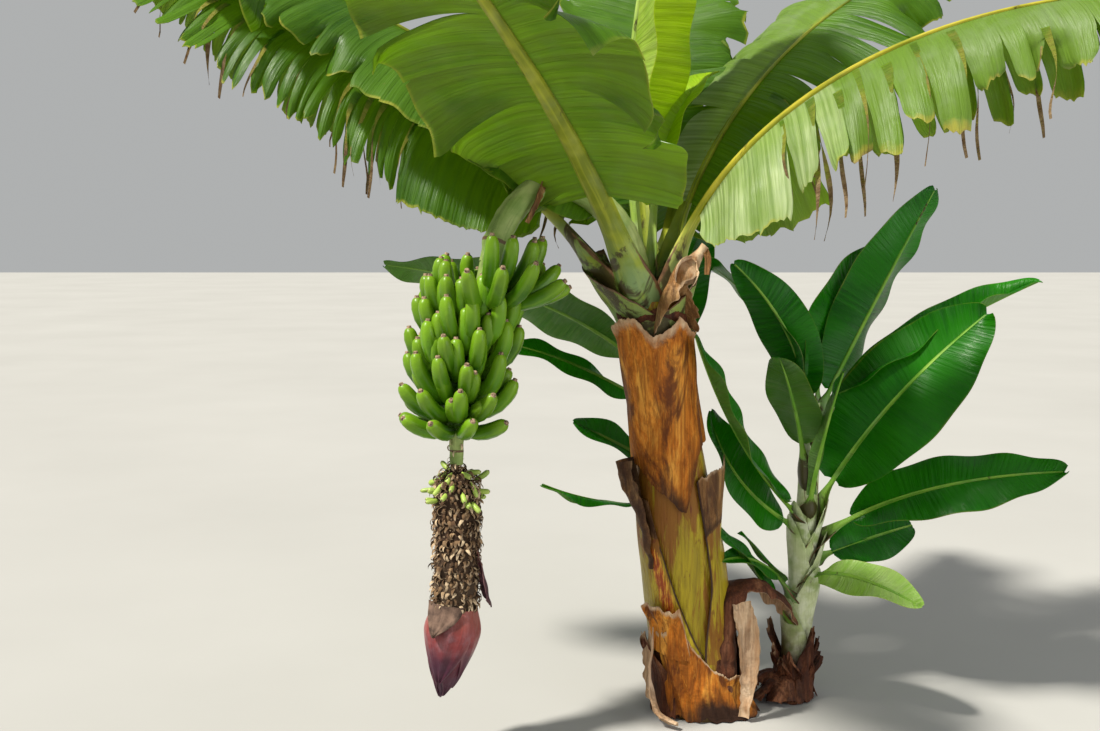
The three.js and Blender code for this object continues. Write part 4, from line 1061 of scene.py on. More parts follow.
# %% Throat sheaths
THROAT_LOW = 1.035  # where the cones start
THROAT_OPENS = 1.095  # above this they lean out
bm = new_mesh()
for start, end, high_start, high_end, lean, seed in (
    (20, 150, 1.18, 1.2, 0.35, 18), (262, 396, 1.075, 1.22, 0.34, 15), (120, 281, 1.26, 1.085, 0.62, 16),
):

    def top(u):
        return lerp(high_start, high_end, u) + 0.012 * np.sin(u * np.pi)

    shell(bm, MAIN, lambda v: (start, end), lambda u: (THROAT_LOW, top(u)),
          lambda u, v: 0.002 + lean * np.maximum(lerp(THROAT_LOW, top(u), v) - THROAT_OPENS, 0),
          50, 26, ragged=0.006, seed=seed, buckle=0.003,
          edge=lambda u, v: (smooth(v, 0.9, 1.0) * 0.85 + smooth(sideways(u), 0.95, 1) * 0.8, lerp(1.0, 0.55, v)))
shell(bm, MAIN, lambda v: (140, 400), lambda u: (1.03, 1.1 + 0.015 * np.sin(u * 14)), lambda u, v: 0.012 * v - 0.004,
      80, 12, 1, seed=19, ragged=0.01, buckle=0.001)
wall(bm, THIN_WALL)
piece("throat_sheaths", bm, (CROWN_RIB, DEAD), "sheath")

# %% [markdown]
# ### The two flaps
# The left sheath runs down to a point in front, and its dead top rolls away from the stem. The right one has
# split from it and stands off with a ragged brown end. Both are still alive lower down, so only their upper
# parts carry the brown finish and the rest is living sheath.

# %% Flaps
FLAP_ROLL = [(-0.15, -0.11, 0.42), (-0.165, -0.118, 0.52), (-0.188, -0.12, 0.6), (-0.212, -0.115, 0.665),
             (-0.22, -0.112, 0.712)]


def left_notes(u, v):
    rust = 1.2 * bell_curve(u, 0.78, 0.13) * smooth(v, 0.0, 0.3) * (1 - smooth(v, 0.6, 0.76))
    # Near its front edge the living part is painted dark: shade in the crevice there.
    crevice_shade = smooth(u, 0.92, 1) * (1 - smooth(v, 0.7, 0.76))
    return rust, np.maximum(smooth(v, 0.7, 0.8) * 0.62, crevice_shade)


def right_notes(u, v):
    # The edge by the front is painted dark as shade in the crevice there; the flap also darkens along its fold and
    # towards its right side low down.
    crease = (1 - smooth(np.abs(v - 0.72), 0, 0.06)) * 0.7 + smooth(v, 0.85, 1) * 0.2
    darkening = 0.62 * smooth(u, 0.15, 0.75) * (1 - smooth(v, 0.5, 0.7))
    return smooth(v, 0.95, 1.0) * 0.8, np.maximum(crease, np.maximum(1 - smooth(u, 0, 0.09), darkening))


bm = new_mesh()
scroll(bm, FLAP_ROLL, lambda v: lerp(0.012, 0.039, smooth(v, 0, 0.9)), lambda v: lerp(130, 215, v),
       lambda v: lerp(100, 75, v), 22, 34, 1, up=(0, 1, 0), seed=9, ragged=0.1, buckle=0.009,
       edge=lambda u, v: (smooth(v, 0.95, 1) * 0.35, 0.58 + 0.1 * np.sin(u * 9)))
shell(bm, MAIN, lambda v: (176 + 6 * v, lerp(278, 224, v ** 0.8)), lambda u: (0.17 + 0.02 * u, 0.66 - 0.06 * u),
      lambda u, v: 0.006 + 0.03 * (1 - u) * smooth(v, 0.74, 1.05) ** 1.5 + 0.004 * (1 - sideways(u)),
      40, 50, seed=5, edge=left_notes)
wall(bm, STOUT_WALL)
finish_above(bm, 0.76)
piece("flap_left", bm, (LIVING, BROWN_SHEATH), "dry_sheath", "sheath_flap_left")

bm = new_mesh()
shell(bm, MAIN, lambda v: (lerp(279, 301, smooth(v, 0, 0.5)), 368), lambda u: (0.16 + 0.03 * u, 0.66 + 0.05 * u),
      lambda u, v: 0.006 + 0.055 * u * smooth(v, 0.55, 1.05) + 0.006 * bell_curve(u, 0, 0.12),
      40, 50, seed=6, edge=right_notes)
wall(bm, STOUT_WALL)
finish_above(bm, 0.7)
piece("flap_right", bm, (LIVING, BROWN_SHEATH), "dry_sheath", "sheath_flap_right")

# %% [markdown]
# ### The peeled foot
# At the ground an old sheath has peeled back like bark: orange, fibrous and cupped, with a lip that lifts on
# the right. A torn band crosses above it, a dead layer beside it on the left is darkened as painted shade in
# the opening there, and a pale strip curls off in front of that.

# %% Foot sheath
foot_high = line_through([0, 0.2, 0.36, 0.5, 0.66, 0.85, 0.94, 1], [0.25, 0.26, 0.24, 0.165, 0.125, 0.105, 0.125, 0.1])


def foot_stand(u, v):
    cupped = 0.03 * smooth(u, 0.3, 1) * (1 - v) ** 2
    lip = 0.034 * smooth(u, 0.6, 1) * smooth(v, 0.7, 1.05)
    return 0.012 + cupped + lip + 0.004 * np.sin(u * 44 + v * 5) * (1 - v)


def foot_notes(u, v):
    # Darker towards the bottom, and low down in the middle.
    dark_notes = (1 - smooth(v, 0, 0.55)) * 0.6 + 0.5 * bell_curve(u, 0.6, 0.24) * (1 - smooth(v, 0.55, 1))
    return smooth(v, 0.9, 1.0), dark_notes


bm = new_mesh()
shell(bm, MAIN, lambda v: (lerp(228, 214, v), 342), lambda u: (OFF_GROUND, foot_high(u)), foot_stand,
      84, 40, seed=8, ragged=0.02, buckle=0.009, edge=foot_notes)
shell(bm, MAIN, lambda v: (208, 262 - 6 * v), lambda u: (0.19 - 0.02 * u, 0.318 + 0.008 * np.sin(u * 7)),
      lambda u, v: 0.019 + 0.016 * smooth(v, 0.55, 1.05) + 0.003 * np.sin(u * 24),
      60, 22, seed=62, ragged=0.009, buckle=0.007,
      edge=lambda u, v: (smooth(v, 0.8, 1.0) * 0.9 + smooth(sideways(u), 0.85, 1) * 0.8, 0))
# A dead layer on the left, darkened further as painted shade in the opening.
shell(bm, MAIN, lambda v: (186, 236), lambda u: (OFF_GROUND, 0.2 - 0.05 * u), lambda u, v: 0.004,
      24, 16, 1, seed=63, edge=lambda u, v: (0, 0.5))
scroll(bm, [(-0.142, -0.088, 0.255), (-0.15, -0.092, 0.16), (-0.146, -0.108, 0.08), (-0.122, -0.152, 0.03),
            (-0.08, -0.175, 0.02)],
       lambda v: 0.012 + 0.014 * np.sin(np.pi * v), lambda v: 120 + 40 * v, lambda v: 60 + 50 * v,
       12, 34, 2, up=(0, 1, 0), seed=64, ragged=0.4, buckle=0.006, edge=lambda u, v: (0.3 + 0.3 * np.sin(v * 8), 0))
wall(bm, STOUT_WALL)
piece("peeled_foot", bm, (ORANGE_SHEATH, DEAD, PALE_SHEATH), "dry_sheath", "dry_foot_sheath")

# %% [markdown]
# ### The back of the stem
# The side that faces away is left untrimmed: stubs of old sheaths ring the foot, pointed where they tore, and
# one taller sheath still clasps the stem below the wrap. A rule deals out the stubs, so the suckers' feet use
# it too.


# %% Stubs
def stubs(bm, stem, count, start, end, lowest, highest, lean, seed, finish=0):
    """Pointed remains of sheaths round a foot, each leaning out by its own luck."""
    for n in range(count):
        a, b, c = (chance(seed + n * 3 + k) for k in range(3))
        middle = lerp(start, end, (n + 0.5 + 0.5 * (a - 0.5)) / count)
        half = lerp(0.55, 1.15, b) * (end - start) / count
        high = lerp(lowest, highest, c)

        def azimuths(v):
            left = half * (1 - 0.85 * smooth(v, 0.35 + 0.3 * a, 1.05))
            right = half * (1 - 0.8 * smooth(v, 0.45, 1.05))
            return middle - left, middle + right

        def stand(u, v):
            leaning = 0.004 + 0.008 * a + lean * 0.4 * b * (1 - v) ** 2 + lean * b * smooth(v, 0.5, 1.1)
            return leaning + 0.004 * np.sin(u * 17 + a * 30) * v

        shell(bm, stem, azimuths, lambda u: (OFF_GROUND, high - 0.12 * high * (2 * u - 1) ** 2), stand,
              16, 22, finish, seed=seed + n, ragged=0.016, buckle=0.007,
              edge=lambda u, v: (smooth(v, 0.75, 1.05) * (0.3 + 0.6 * c), 0))


bm = new_mesh()
shell(bm, MAIN, lambda v: (lerp(12, 40, v), lerp(158, 128, v)), lambda u: (0.12, 0.71 - 0.16 * (2 * u - 1) ** 2),
      lambda u, v: 0.005 + 0.016 * smooth(v, 0.8, 1.05), 50, 44, seed=66, ragged=0.02, buckle=0.003,
      edge=lambda u, v: (smooth(v, 0.94, 1) * 0.8,
                         np.maximum(smooth(sideways(u), 0.93, 1), smooth(v, 0.72, 0.85) * 0.5)))
wall(bm, STOUT_WALL)
finish_above(bm, 0.8)
stubs(bm, MAIN, 7, -18, 212, 0.07, 0.27, 0.03, 700, 2)
thicken(bm, THIN_WALL, [face for face in bm.faces if face.material_index == 2])
piece("back_sheaths", bm, (LIVING, BROWN_SHEATH, DEAD), "dry_sheath")

# %% [markdown]
# ### The twisted sheath at the neck
# It climbs off the stem's right shoulder, narrows, folds over in a little bowl and ends in a twisted tip with
# one loose strand.

# %% Neck sheath
bm = new_mesh()
scroll(bm, [(-0.1, -0.145, 1.05), (-0.108, -0.19, 1.13), (-0.085, -0.208, 1.2), (-0.05, -0.2, 1.245),
            (-0.028, -0.2, 1.272)],
       lambda v: lerp(0.062, 0.012, smooth(v, 0.1, 0.95)) + 0.014 * bell_curve(v, 0.7, 0.1),
       lambda v: lerp(150, 265, v), lambda v: lerp(10, 130, v**1.4),
       26, 46, up=(0, 1, 0), seed=12, ragged=0.25, buckle=0.006,
       edge=lambda u, v: (smooth(v, 0.45, 0.8) * 0.8 + smooth(sideways(u), 0.8, 1) * 0.6,
                          (1 - smooth(v, 0, 0.3)) * 0.5))
# The bowl takes the pale, bleached finish: partly its dry colour, partly painted sunlight inside it.
scroll(bm, [(-0.075, -0.225, 1.175), (-0.078, -0.235, 1.215), (-0.06, -0.222, 1.24)],
       lambda v: 0.03 * np.sin(np.pi * lerp(0.2, 0.9, v)), 190, lambda v: -20 + 50 * v,
       14, 14, 1, up=(0, 1, 0), seed=13, edge=lambda u, v: (0.9, 0))
scroll(bm, [(-0.03, -0.205, 1.265), (-0.022, -0.212, 1.24), (-0.024, -0.215, 1.2)],
       lambda v: 0.006 + 0.003 * v, 150, lambda v: 60 * v, 6, 14, up=(0, 1, 0), seed=14)
wall(bm, 0.0018)
piece("neck_scroll", bm, (BROWN_SHEATH, PALE_SHEATH), "dry_sheath", "dry_neck_sheath")
# %% [markdown]
# ## The fruit stalk
# It comes up out of the throat, bends over beside the front leaf's stalk and hangs by the fruit's weight:
# thick, pale green and a little wrinkled, with the dry collars that its bracts have left and a dry husk that
# still clings to the front of its bend.


# %% Fruit finishes
def fruit_finish(name, deep, light, tip_end):
    f = Finish(name, 0.34)
    base = f.mix(f.step(f.noise(11, detail=3), 0.35, 0.65), deep, light)
    base = f.tint(base, f.step(f.strip, 0.25, 1.0), 0.5, shaded(light, 1.7))
    base = f.tint(base, f.step(f.share, 0.55, 0.95), 0.55, tip_end)
    # The ridges are tinted yellower: partly their own paler colour, partly painted highlight.
    base = f.tint(base, f.step(f.extra, 0.55, 0.95), 0.3, (0.22, 0.38, 0.03))
    base = f.tint(base, f.step(f.noise(1.0, f.laid(30, 700), 3), 0.5, 0.75), 0.25, (0.05, 0.16, 0.01))
    base = f.tint(base, f.step(f.noise(230, detail=3), 0.68, 0.75), 0.45, (0.07, 0.06, 0.02))
    tip = f.step(f.loosened(f.dry, f.noise(180, detail=3), 0.5), 0.45, 0.65)
    brown = f.ramp(f.noise(190, detail=4), (0.36, (0.05, 0.028, 0.016)), (0.62, (0.4, 0.27, 0.18)))
    colour = f.mix(tip, base, brown)
    return f.done(colour, f.bump(f.noise(60, detail=4), 0.0012), f.step(f.dry, 0.4, 0.7, 0.34, 0.8))


def fruit_stalk_finish():
    f = Finish("fruit_stalk_skin", 0.5)
    fibres = f.noise(1.0, f.laid(10, 260), 4)
    base = f.mix(f.step(f.noise(13, detail=4), 0.35, 0.65), (0.2, 0.3, 0.07), (0.38, 0.45, 0.16))
    colour = f.tint(base, f.step(fibres, 0.45, 0.7), 0.4, (0.13, 0.2, 0.035))
    scar = f.loosened(f.dry, f.noise(60, detail=4), 0.5)
    colour = f.mix(f.step(scar, 0.45, 0.65), colour, (0.12, 0.07, 0.03))
    return f.done(colour, f.bump(fibres, 0.002))


BANANA = fruit_finish("banana_skin", (0.02, 0.092, 0.001), (0.08, 0.205, 0.004), (0.22, 0.38, 0.014))
SMALL_FINGER = fruit_finish("small_finger_skin", (0.16, 0.28, 0.03), (0.34, 0.45, 0.09), (0.4, 0.48, 0.14))
STALK_SKIN = fruit_stalk_finish()

# %% Fruit stalk
STALK = np.array([
    [-172, -112, 1100], [-225, -122, 1300], [-333, -160, 1405], [-450, -220, 1412], [-535, -275, 1310],
    [-572, -300, 1160], [-611, -310, 1044], [-634, -320, 923], [-645, -320, 780], [-646, -320, 549],
    [-656, -320, 346], [-692, -320, 148],
]) / 1000
stalk_at, STALK_LENGTH = curve_frames(STALK, (0, 1, 0))


def stalk_share(z):
    """The share of the stalk's length at which its hanging part passes a height."""
    t = np.linspace(0.35, 1, 600)
    return float(np.interp(-z, -stalk_at(t)[0][:, 2], t))


def stalk_tube(bm, start, end, radius, sides, rings, finish=0, scars=()):
    def surface(u, v):
        point, along, side, normal = stalk_at(lerp(start, end, v))
        corner = u * 2 * np.pi
        r = radius(v) * (1 + 0.04 * np.cos(corner * 5 + v * 9))
        placed = point + (side * np.cos(corner)[:, None] + normal * np.sin(corner)[:, None]) * r[:, None]
        return placed + unit(placed - point) * (rough(placed, 45, 2) * 0.0022)[:, None]

    def tone(u, v):
        scar = sum((bell_curve(v, s, 0.008) for s in scars), 0 * v)
        return tones_of(np.clip(scar, 0, 1), u, v)

    length = (end - start) * STALK_LENGTH
    lay(bm, sides, rings, surface, lambda u, v: np.stack([v * length, u * 0.15, v], -1), tone, finish, closed=True)


FRUIT_TOP, FRUIT_END, FLOWERS_END = (stalk_share(high) for high in (1.23, 0.74, 0.385))  # metres up
bm = new_mesh()
stalk_tube(bm, 0, FRUIT_TOP, lambda v: lerp(0.036, 0.031, v) + 0.004 * bell_curve(v, 0.93, 0.015), 24, 70,
           scars=(0.6, 0.93))
outward(bm)
husk = scroll(bm, [(-0.426, -0.232, 1.442), (-0.437, -0.262, 1.412), (-0.452, -0.272, 1.375), (-0.474, -0.272, 1.33)],
              lambda v: 0.012 - 0.005 * v, 150, lambda v: 90 + 25 * v, 8, 20, 1, seed=70, ragged=0.3)
thicken(bm, PAPERY_WALL, husk)
piece("fruit_stalk_bend", bm, (STALK_SKIN, BROWN_SHEATH), "stalk", "fruit_stalk")

# %% [markdown]
# ## The bunch
# Seven hands sit round the stalk, each in two rows. A banana leaves the stalk level and turns up towards the
# light as it grows. It has a thin neck, five soft edges and a blunt brown tip where its flower was.

# %% Bananas
# Each hand: its height, facing, spread, number of bananas, rise, curve, length and reach from the stalk.
HANDS = [
    (1.135, -18, 150, 14, -6, 74, 0.2, 0.046), (1.09, 165, 150, 11, -5, 98, 0.176, 0.024),
    (1.046, 262, 200, 15, -10, 102, 0.178, 0.024), (0.982, 300, 220, 14, -16, 104, 0.176, 0.022),
    (0.922, 225, 220, 14, -14, 94, 0.168, 0.02), (0.868, 310, 220, 13, -14, 72, 0.158, 0.018),
    (0.826, 210, 230, 13, -12, 44, 0.14, 0.016),
]
# Each ring of a banana: its share of the length, and its share of the girth.
BANANA_AT, BANANA_WIDE = np.array([
    (0.0, 0.42), (0.06, 0.4), (0.12, 0.5), (0.2, 0.84), (0.32, 0.98), (0.5, 1.03), (0.68, 1.02), (0.82, 0.95),
    (0.9, 0.82), (0.945, 0.62), (0.965, 0.4), (0.975, 0.3), (0.993, 0.31), (1.0, 0.24), (1.0, 0.0),
]).T
GIRTH = 0.0186  # metres, from the middle to the skin


def banana(bm, start, azimuth, rise, curve, length, girth, luck):
    pieces = 24
    t = np.arange(pieces + 1) / pieces
    angle = np.radians(rise + curve * (1 - (1 - t) ** 1.5))[:, None]
    flat = heading(azimuth)
    along = flat * np.cos(angle) + UP * np.sin(angle)
    side = np.cross(UP, flat)
    points = start + np.vstack([np.zeros(3), np.cumsum(along[:-1] * length / pieces, axis=0)])
    last = len(BANANA_AT) - 1

    def surface(u, v):
        i = np.clip(np.round(v * last).astype(int), 0, last)
        place, size = BANANA_AT[i], BANANA_WIDE[i] * girth
        k = place * pieces
        point, forward = (np.stack([np.interp(k, np.arange(pieces + 1), xyz[:, c]) for c in range(3)], -1)
                          for xyz in (points, along))
        forward = unit(forward)
        normal = np.cross(forward, side)
        corner = u * 2 * np.pi + luck
        r = size * (1 + 0.055 * np.cos(corner * 5) * smooth(place, 0.1, 0.3) * (1 - smooth(place, 0.85, 0.95)))
        return point + side * (np.cos(corner) * r)[:, None] + normal * (np.sin(corner) * r)[:, None]

    def along_it(v):
        return np.interp(v, np.linspace(0, 1, last + 1), BANANA_AT)

    def lie(u, v):
        place = along_it(v)
        return np.stack([place * length, u * 0.1, place], -1)

    def tone(u, v):
        # The third note marks the ridges, which the finish tints yellower, partly as painted highlight.
        edges = 0.5 + 0.5 * np.cos((u * 2 * np.pi + luck) * 5)
        return tones_of(smooth(along_it(v), 0.955, 0.975), np.full_like(u, luck / 6), edges)

    lay(bm, 15, last, surface, lie, tone, closed=True)


def cushion(bm, centre, facing, spread, reach):
    """The pad that joins the necks of one hand to the stalk."""

    def surface(u, v):
        azimuth = facing + (v - 0.5) * spread * 1.05
        ring = u * 2 * np.pi
        swell = np.sin(np.pi * np.clip(v, 0.02, 0.98)) ** 0.4
        out = reach * 0.72 + 0.016 * np.cos(ring) * swell
        lift = 0.016 + 0.03 * np.sin(ring) * swell
        return centre + heading(azimuth) * out[:, None] + UP * lift[:, None]

    lay(bm, 10, 22, surface, lambda u, v: np.stack([v * 0.1, u * 0.1, np.full_like(u, 0.2)], -1), closed=True)


bm = new_mesh()
stalk_tube(bm, FRUIT_TOP, FRUIT_END, lambda v: lerp(0.031, 0.016, v), 20, 60, 1, (0.1, 0.93))
for h, (high, facing, spread, count, rise, curve, length, reach) in enumerate(HANDS):
    centre = stalk_at(np.array([stalk_share(high)]))[0][0]
    cushion(bm, centre, facing, spread, reach)
    hand_bm = new_mesh()
    for i in range(count):
        upper = i % 2
        luck = float(chance(h * 40 + i))
        azimuth = facing + spread * (i / (count - 1) - 0.5) + (luck - 0.5) * 8
        level = 0.55 * math.exp(-((azimuth / 38) ** 2)) if h == 0 and not upper else 0
        start = centre + heading(azimuth) * reach * (1 - upper * 0.2) + UP * upper * 0.032
        long = length * (1 - upper * 0.08 - level * 0.2) * lerp(0.96, 1.05, luck)
        banana(hand_bm, start, azimuth, rise + upper * 10 + (luck * 5 % 1 - 0.5) * 8,
               curve * (1 - level) + (luck - 0.5) * 14, long, GIRTH, luck * 6)
    hand = bpy.data.meshes.new("hand")
    hand_bm.to_mesh(hand)
    hand_bm.free()
    bm.from_mesh(hand)
    bpy.data.meshes.remove(hand)
outward(bm)
piece("banana_bunch", bm, (BANANA, STALK_SKIN), "fruit", "fruit_bunch", crease=60)
# %% [markdown]
# ## The dead flowers
# Below the fruit the stalk is wrapped in the dried remains of male flowers: hundreds of small curled scraps,
# from cream to dark brown, in tight spiral rows. Painted shade makes the core near black and the buried rows
# darker. Three scraps are modelled with a few dozen faces each and stamped round a core. Near the top a few
# small fingers that never filled are still green.


# %% Dried flower finishes
def dried_flower_finish():
    f = Finish("dried_flowers", 0.85, 0.2)
    colour = f.ramp(f.strip, (0.0, (0.02, 0.01, 0.006)), (0.35, (0.1, 0.055, 0.028)), (0.7, (0.27, 0.17, 0.09)),
                    (1.0, (0.6, 0.46, 0.3)))
    grain = f.noise(140, detail=4)
    colour = f.tint(colour, f.step(grain, 0.45, 0.65), 0.5, (0.06, 0.035, 0.02))
    # Scrap tips are paler: partly their dry colour, partly painted highlight.
    colour = f.tint(colour, f.step(f.share, 0.5, 0.95), f.times(f.strip, 0.85), (0.72, 0.56, 0.38))
    return f.done(colour, f.bump(grain, 0.0015))


DRIED = dried_flower_finish()


# %% Stamping
def bend_scrap(width, thick, length, curl, taper):
    """One curled, tapering scrap along +X, as a mesh."""
    bm = new_mesh()

    def surface(u, v):
        corner = u * 2 * np.pi
        size = (1 - taper * v) * np.where((v < 0.02) | (v > 0.98), 0.35, 1)
        angle = np.radians(curl) * v
        bow = length / max(math.radians(abs(curl)), 0.1)
        x, z = np.sin(angle) * bow, (1 - np.cos(angle)) * bow
        out = np.stack([-np.sin(angle), 0 * v, np.cos(angle)], -1)
        return np.stack([x, np.cos(corner) * width * size, z], -1) + out * (np.sin(corner) * thick * size)[:, None]

    lay(bm, 6, 5, surface, lambda u, v: np.stack([v * length, u * 0.02, v], -1), closed=True)
    bmesh.ops.holes_fill(bm, edges=[e for e in bm.edges if e.is_boundary], sides=0)
    outward(bm)
    mesh = bpy.data.meshes.new("scrap")
    bm.to_mesh(mesh)
    bm.free()
    return mesh


def stamp(bm, pattern, place, out, up, size, shade):
    """Adds a copy of a small mesh: its +X points out, its +Z up. shade goes into the strip note."""
    side = np.cross(up, out)
    matrix = Matrix([[*(v * size), 0] for v in (out, side, up)] + [[*place, 1]]).transposed()
    copy = pattern.copy()
    copy.transform(matrix)
    copy.attributes["tone"].data.foreach_set("color", [0, shade, 0, 1] * len(copy.vertices))
    bm.from_mesh(copy)
    bpy.data.meshes.remove(copy)


def flowers_radius(t):
    return lerp(0.02, 0.061, smooth(t, 0.0, 0.11)) + 0.002 * np.sin(t * 38)


def stalk_frame(share):
    """One place on the stalk: its point, along, side and normal."""
    return (a[0] for a in stalk_at(np.array([share])))


ROWS = 44
SPACING = 0.0086  # metres from scrap to scrap in a row
random.seed(7)
bm = new_mesh()
stalk_tube(bm, FRUIT_END, FLOWERS_END, lambda v: flowers_radius(v) * lerp(0.42, 0.9, smooth(v, 0.04, 0.2)), 20, 60)
# The core is painted near black: shade deep among the scraps.
core_tone = bm.verts.layers.float_color["tone"]
for vert in bm.verts:
    vert[core_tone] = (0, 0.05, 0, 1)
SCRAPS = [bend_scrap(0.005, 0.0013, 0.034, 190, 0.5), bend_scrap(0.0038, 0.0016, 0.03, -230, 0.3),
          bend_scrap(0.0062, 0.001, 0.027, 130, 0.7)]
for row in range(ROWS):
    share = lerp(0.005, 0.99, row / (ROWS - 1))
    buried = row % 2
    centre, along, side, normal = stalk_frame(lerp(FRUIT_END, FLOWERS_END, share))
    radius = float(flowers_radius(share))
    count = max(14, int(2 * math.pi * radius / SPACING))
    for i in range(count):
        angle = 2 * math.pi * (i + random.uniform(-0.3, 0.3)) / count + row * 0.4
        out = side * math.cos(angle) + normal * math.sin(angle)
        tangent = np.cross(along, out)
        upward = 0.7 * (1 - float(smooth(share, 0, 0.15)))
        aim = unit(out + along * (random.uniform(-0.35, 0.45) - upward) + tangent * random.uniform(-0.7, 0.7))
        up = unit(np.cross(aim, tangent) + tangent * random.uniform(-0.8, 0.8))
        up = unit(up - aim * np.dot(up, aim))
        place = centre + out * (radius - 0.008 - 0.004 * buried) + along * random.uniform(-0.004, 0.004)
        # Buried scraps are darker: painted shade between the rows. The rest vary at random.
        shade = 0.1 + 0.35 * random.random() if buried else 0.25 + 0.75 * random.random() ** 1.2
        stamp(bm, random.choice(SCRAPS), place, aim, up, random.uniform(0.62, 0.98) - 0.22 * buried, shade)
for n in range(16):
    centre, along, side, normal = stalk_frame(lerp(FRUIT_END - 0.035, FRUIT_END + 0.012, n / 15))
    out = side * math.cos(n * 2.4) + normal * math.sin(n * 2.4)
    tangent = np.cross(along, out)
    aim = unit(out + tangent * 0.7)
    stamp(bm, SCRAPS[n % 3], centre + out * 0.016, aim, unit(np.cross(aim, tangent)), 0.75, 1.0)
piece("flower_sleeve", bm, (DRIED,), "dead_flowers", "dead_flowers", crease=50)

# %% Fingers that never filled
bm = new_mesh()
random.seed(11)
for row in range(4):
    share = lerp(0.05, 0.24, row / 3)
    centre = next(stalk_frame(lerp(FRUIT_END, FLOWERS_END, share)))
    for i in range(7):
        angle = i * 51 + row * 27 + random.uniform(-22, 22)
        start = centre + heading(angle) * (float(flowers_radius(share)) - 0.014)
        banana(bm, start, angle, random.uniform(-55, 5), random.uniform(-20, 40), random.uniform(0.026, 0.046),
               random.uniform(0.005, 0.008), i)
outward(bm)
piece("small_fingers", bm, (SMALL_FINGER,), "fruit", crease=60)

# %% [markdown]
# ## The bell
# The male bud is a pointed egg of waxy maroon bracts that overlap like roof tiles. A core carries six living
# bract shells, each a little proud of the last with a lip that lifts. The oldest bract is a short dried one at
# the top, and a withered scroll hangs at the right.


# %% Bell finish
def bract_finish(name, deep, light, bloom):
    f = Finish(name, 0.42)
    veins = f.noise(1.0, f.laid(6, 300), 4)
    base = f.mix(f.step(f.noise(14, detail=3), 0.35, 0.65), deep, light)
    colour = f.tint(base, f.step(veins, 0.45, 0.7), 0.35, shaded(deep, 0.5))
    colour = f.tint(colour, f.step(f.noise(20, detail=5, rough=0.65), 0.4, 0.7), bloom, (0.36, 0.24, 0.28))
    from_middle = f.maths("ABSOLUTE", f.maths("SUBTRACT", f.strip, 0.5))
    colour = f.tint(colour, f.step(from_middle, 0.4, 0.49), 0.5, (0.4, 0.2, 0.2))
    colour = f.tint(colour, f.step(f.share, 0.32, 0.85), 0.8, (0.04, 0.009, 0.032))
    colour = f.tint(colour, f.step(f.share, 0.42, 0.0), 0.5, (0.36, 0.1, 0.06))
    withered = f.ramp(f.noise(30, detail=5, rough=0.65), (0.35, (0.045, 0.026, 0.02)), (0.65, (0.2, 0.125, 0.09)))
    colour = f.mix(f.step(f.dry, 0.4, 0.8), colour, withered)
    return f.done(colour, f.bump(veins, 0.0016), f.step(f.dry, 0.4, 0.8, 0.4, 0.8))


BRACT = bract_finish("bell_bract", (0.1, 0.014, 0.02), (0.25, 0.04, 0.04), 0.35)
BRACT_TIP = bract_finish("bell_bract_dark", (0.06, 0.014, 0.035), (0.13, 0.03, 0.06), 0.4)


def bell_radius(t):
    shoulder = 0.72 + 0.28 * smooth(t, -0.02, 0.3)
    return np.maximum(0.001, 0.067 * shoulder * (1 - np.clip((t - 0.1) / 0.9, 0, 1) ** 1.8) ** 0.95)


def bract(bm, seed, facing, spread, start, end, proud, lift, dry):
    """A bract from start to end of the bell, its tip narrowing. lift opens its free edge."""

    def surface(u, v):
        t = lerp(start, end, v)
        narrow = np.cos(np.clip(v, 0, 1) * math.pi / 2 * 0.97) ** (0.6 + 0.7 * dry)
        angle = np.radians(facing + (u - 0.5) * spread * narrow)
        point, along, side, normal = stalk_at(lerp(FLOWERS_END, 1, t))
        out = side * np.cos(angle)[:, None] + normal * np.sin(angle)[:, None]
        open_edge = lift * (sideways(u) ** 3 * 0.35 * (1 - v) + smooth(v, 0.6, 1.0))
        r = bell_radius(t) + proud + open_edge + 0.002 * np.sin(u * 20 + seed)
        return point + out * r[:, None]

    lay(bm, 22, 30, surface, lambda u, v: np.stack([v * 0.24, u * 0.12, v], -1),
        lambda u, v: tones_of(np.full_like(u, dry), u, v))


bm = new_mesh()
for number, row in enumerate([
    (40, 190, 0.02, 0.99, 0.001, 0.001, 0), (160, 190, 0.02, 1.0, 0.0015, 0.001, 0),
    (280, 190, 0.02, 0.97, 0.003, 0.002, 0), (100, 170, 0.0, 0.92, 0.0045, 0.002, 0),
    (225, 160, 0.0, 0.88, 0.006, 0.003, 0), (340, 150, 0.0, 0.8, 0.0075, 0.003, 0.1),
    (-8, 104, -0.05, 0.27, 0.0125, 0.012, 1.0),
]):
    bract(bm, number, *row)
scroll(bm, [(-0.597, -0.335, 0.53), (-0.582, -0.342, 0.47), (-0.574, -0.342, 0.425), (-0.562, -0.335, 0.385)],
       lambda v: 0.005 + 0.017 * np.sin(np.pi * v**1.8), 130, lambda v: 50 + 30 * v,
       14, 26, 1, up=(0, 1, 0), seed=50, ragged=0.3, buckle=0.004, edge=lambda u, v: (0.55, 0.3))
wall(bm, PAPERY_WALL)
stalk_tube(bm, FLOWERS_END, 1.0, lambda v: bell_radius(v) * 0.97, 24, 30, 1)
bmesh.ops.remove_doubles(bm, verts=bm.verts[:], dist=0.00002)
piece("bell_bud", bm, (BRACT, BRACT_TIP), "bell", "bell")

# %% [markdown]
# ## The suckers' stems
# A sucker's stem is young sheaths, bloomed grey-green with brown feet. Each one wraps the column and opens
# upwards into a leaf stalk, so the stem is a stack of shells on alternate sides.


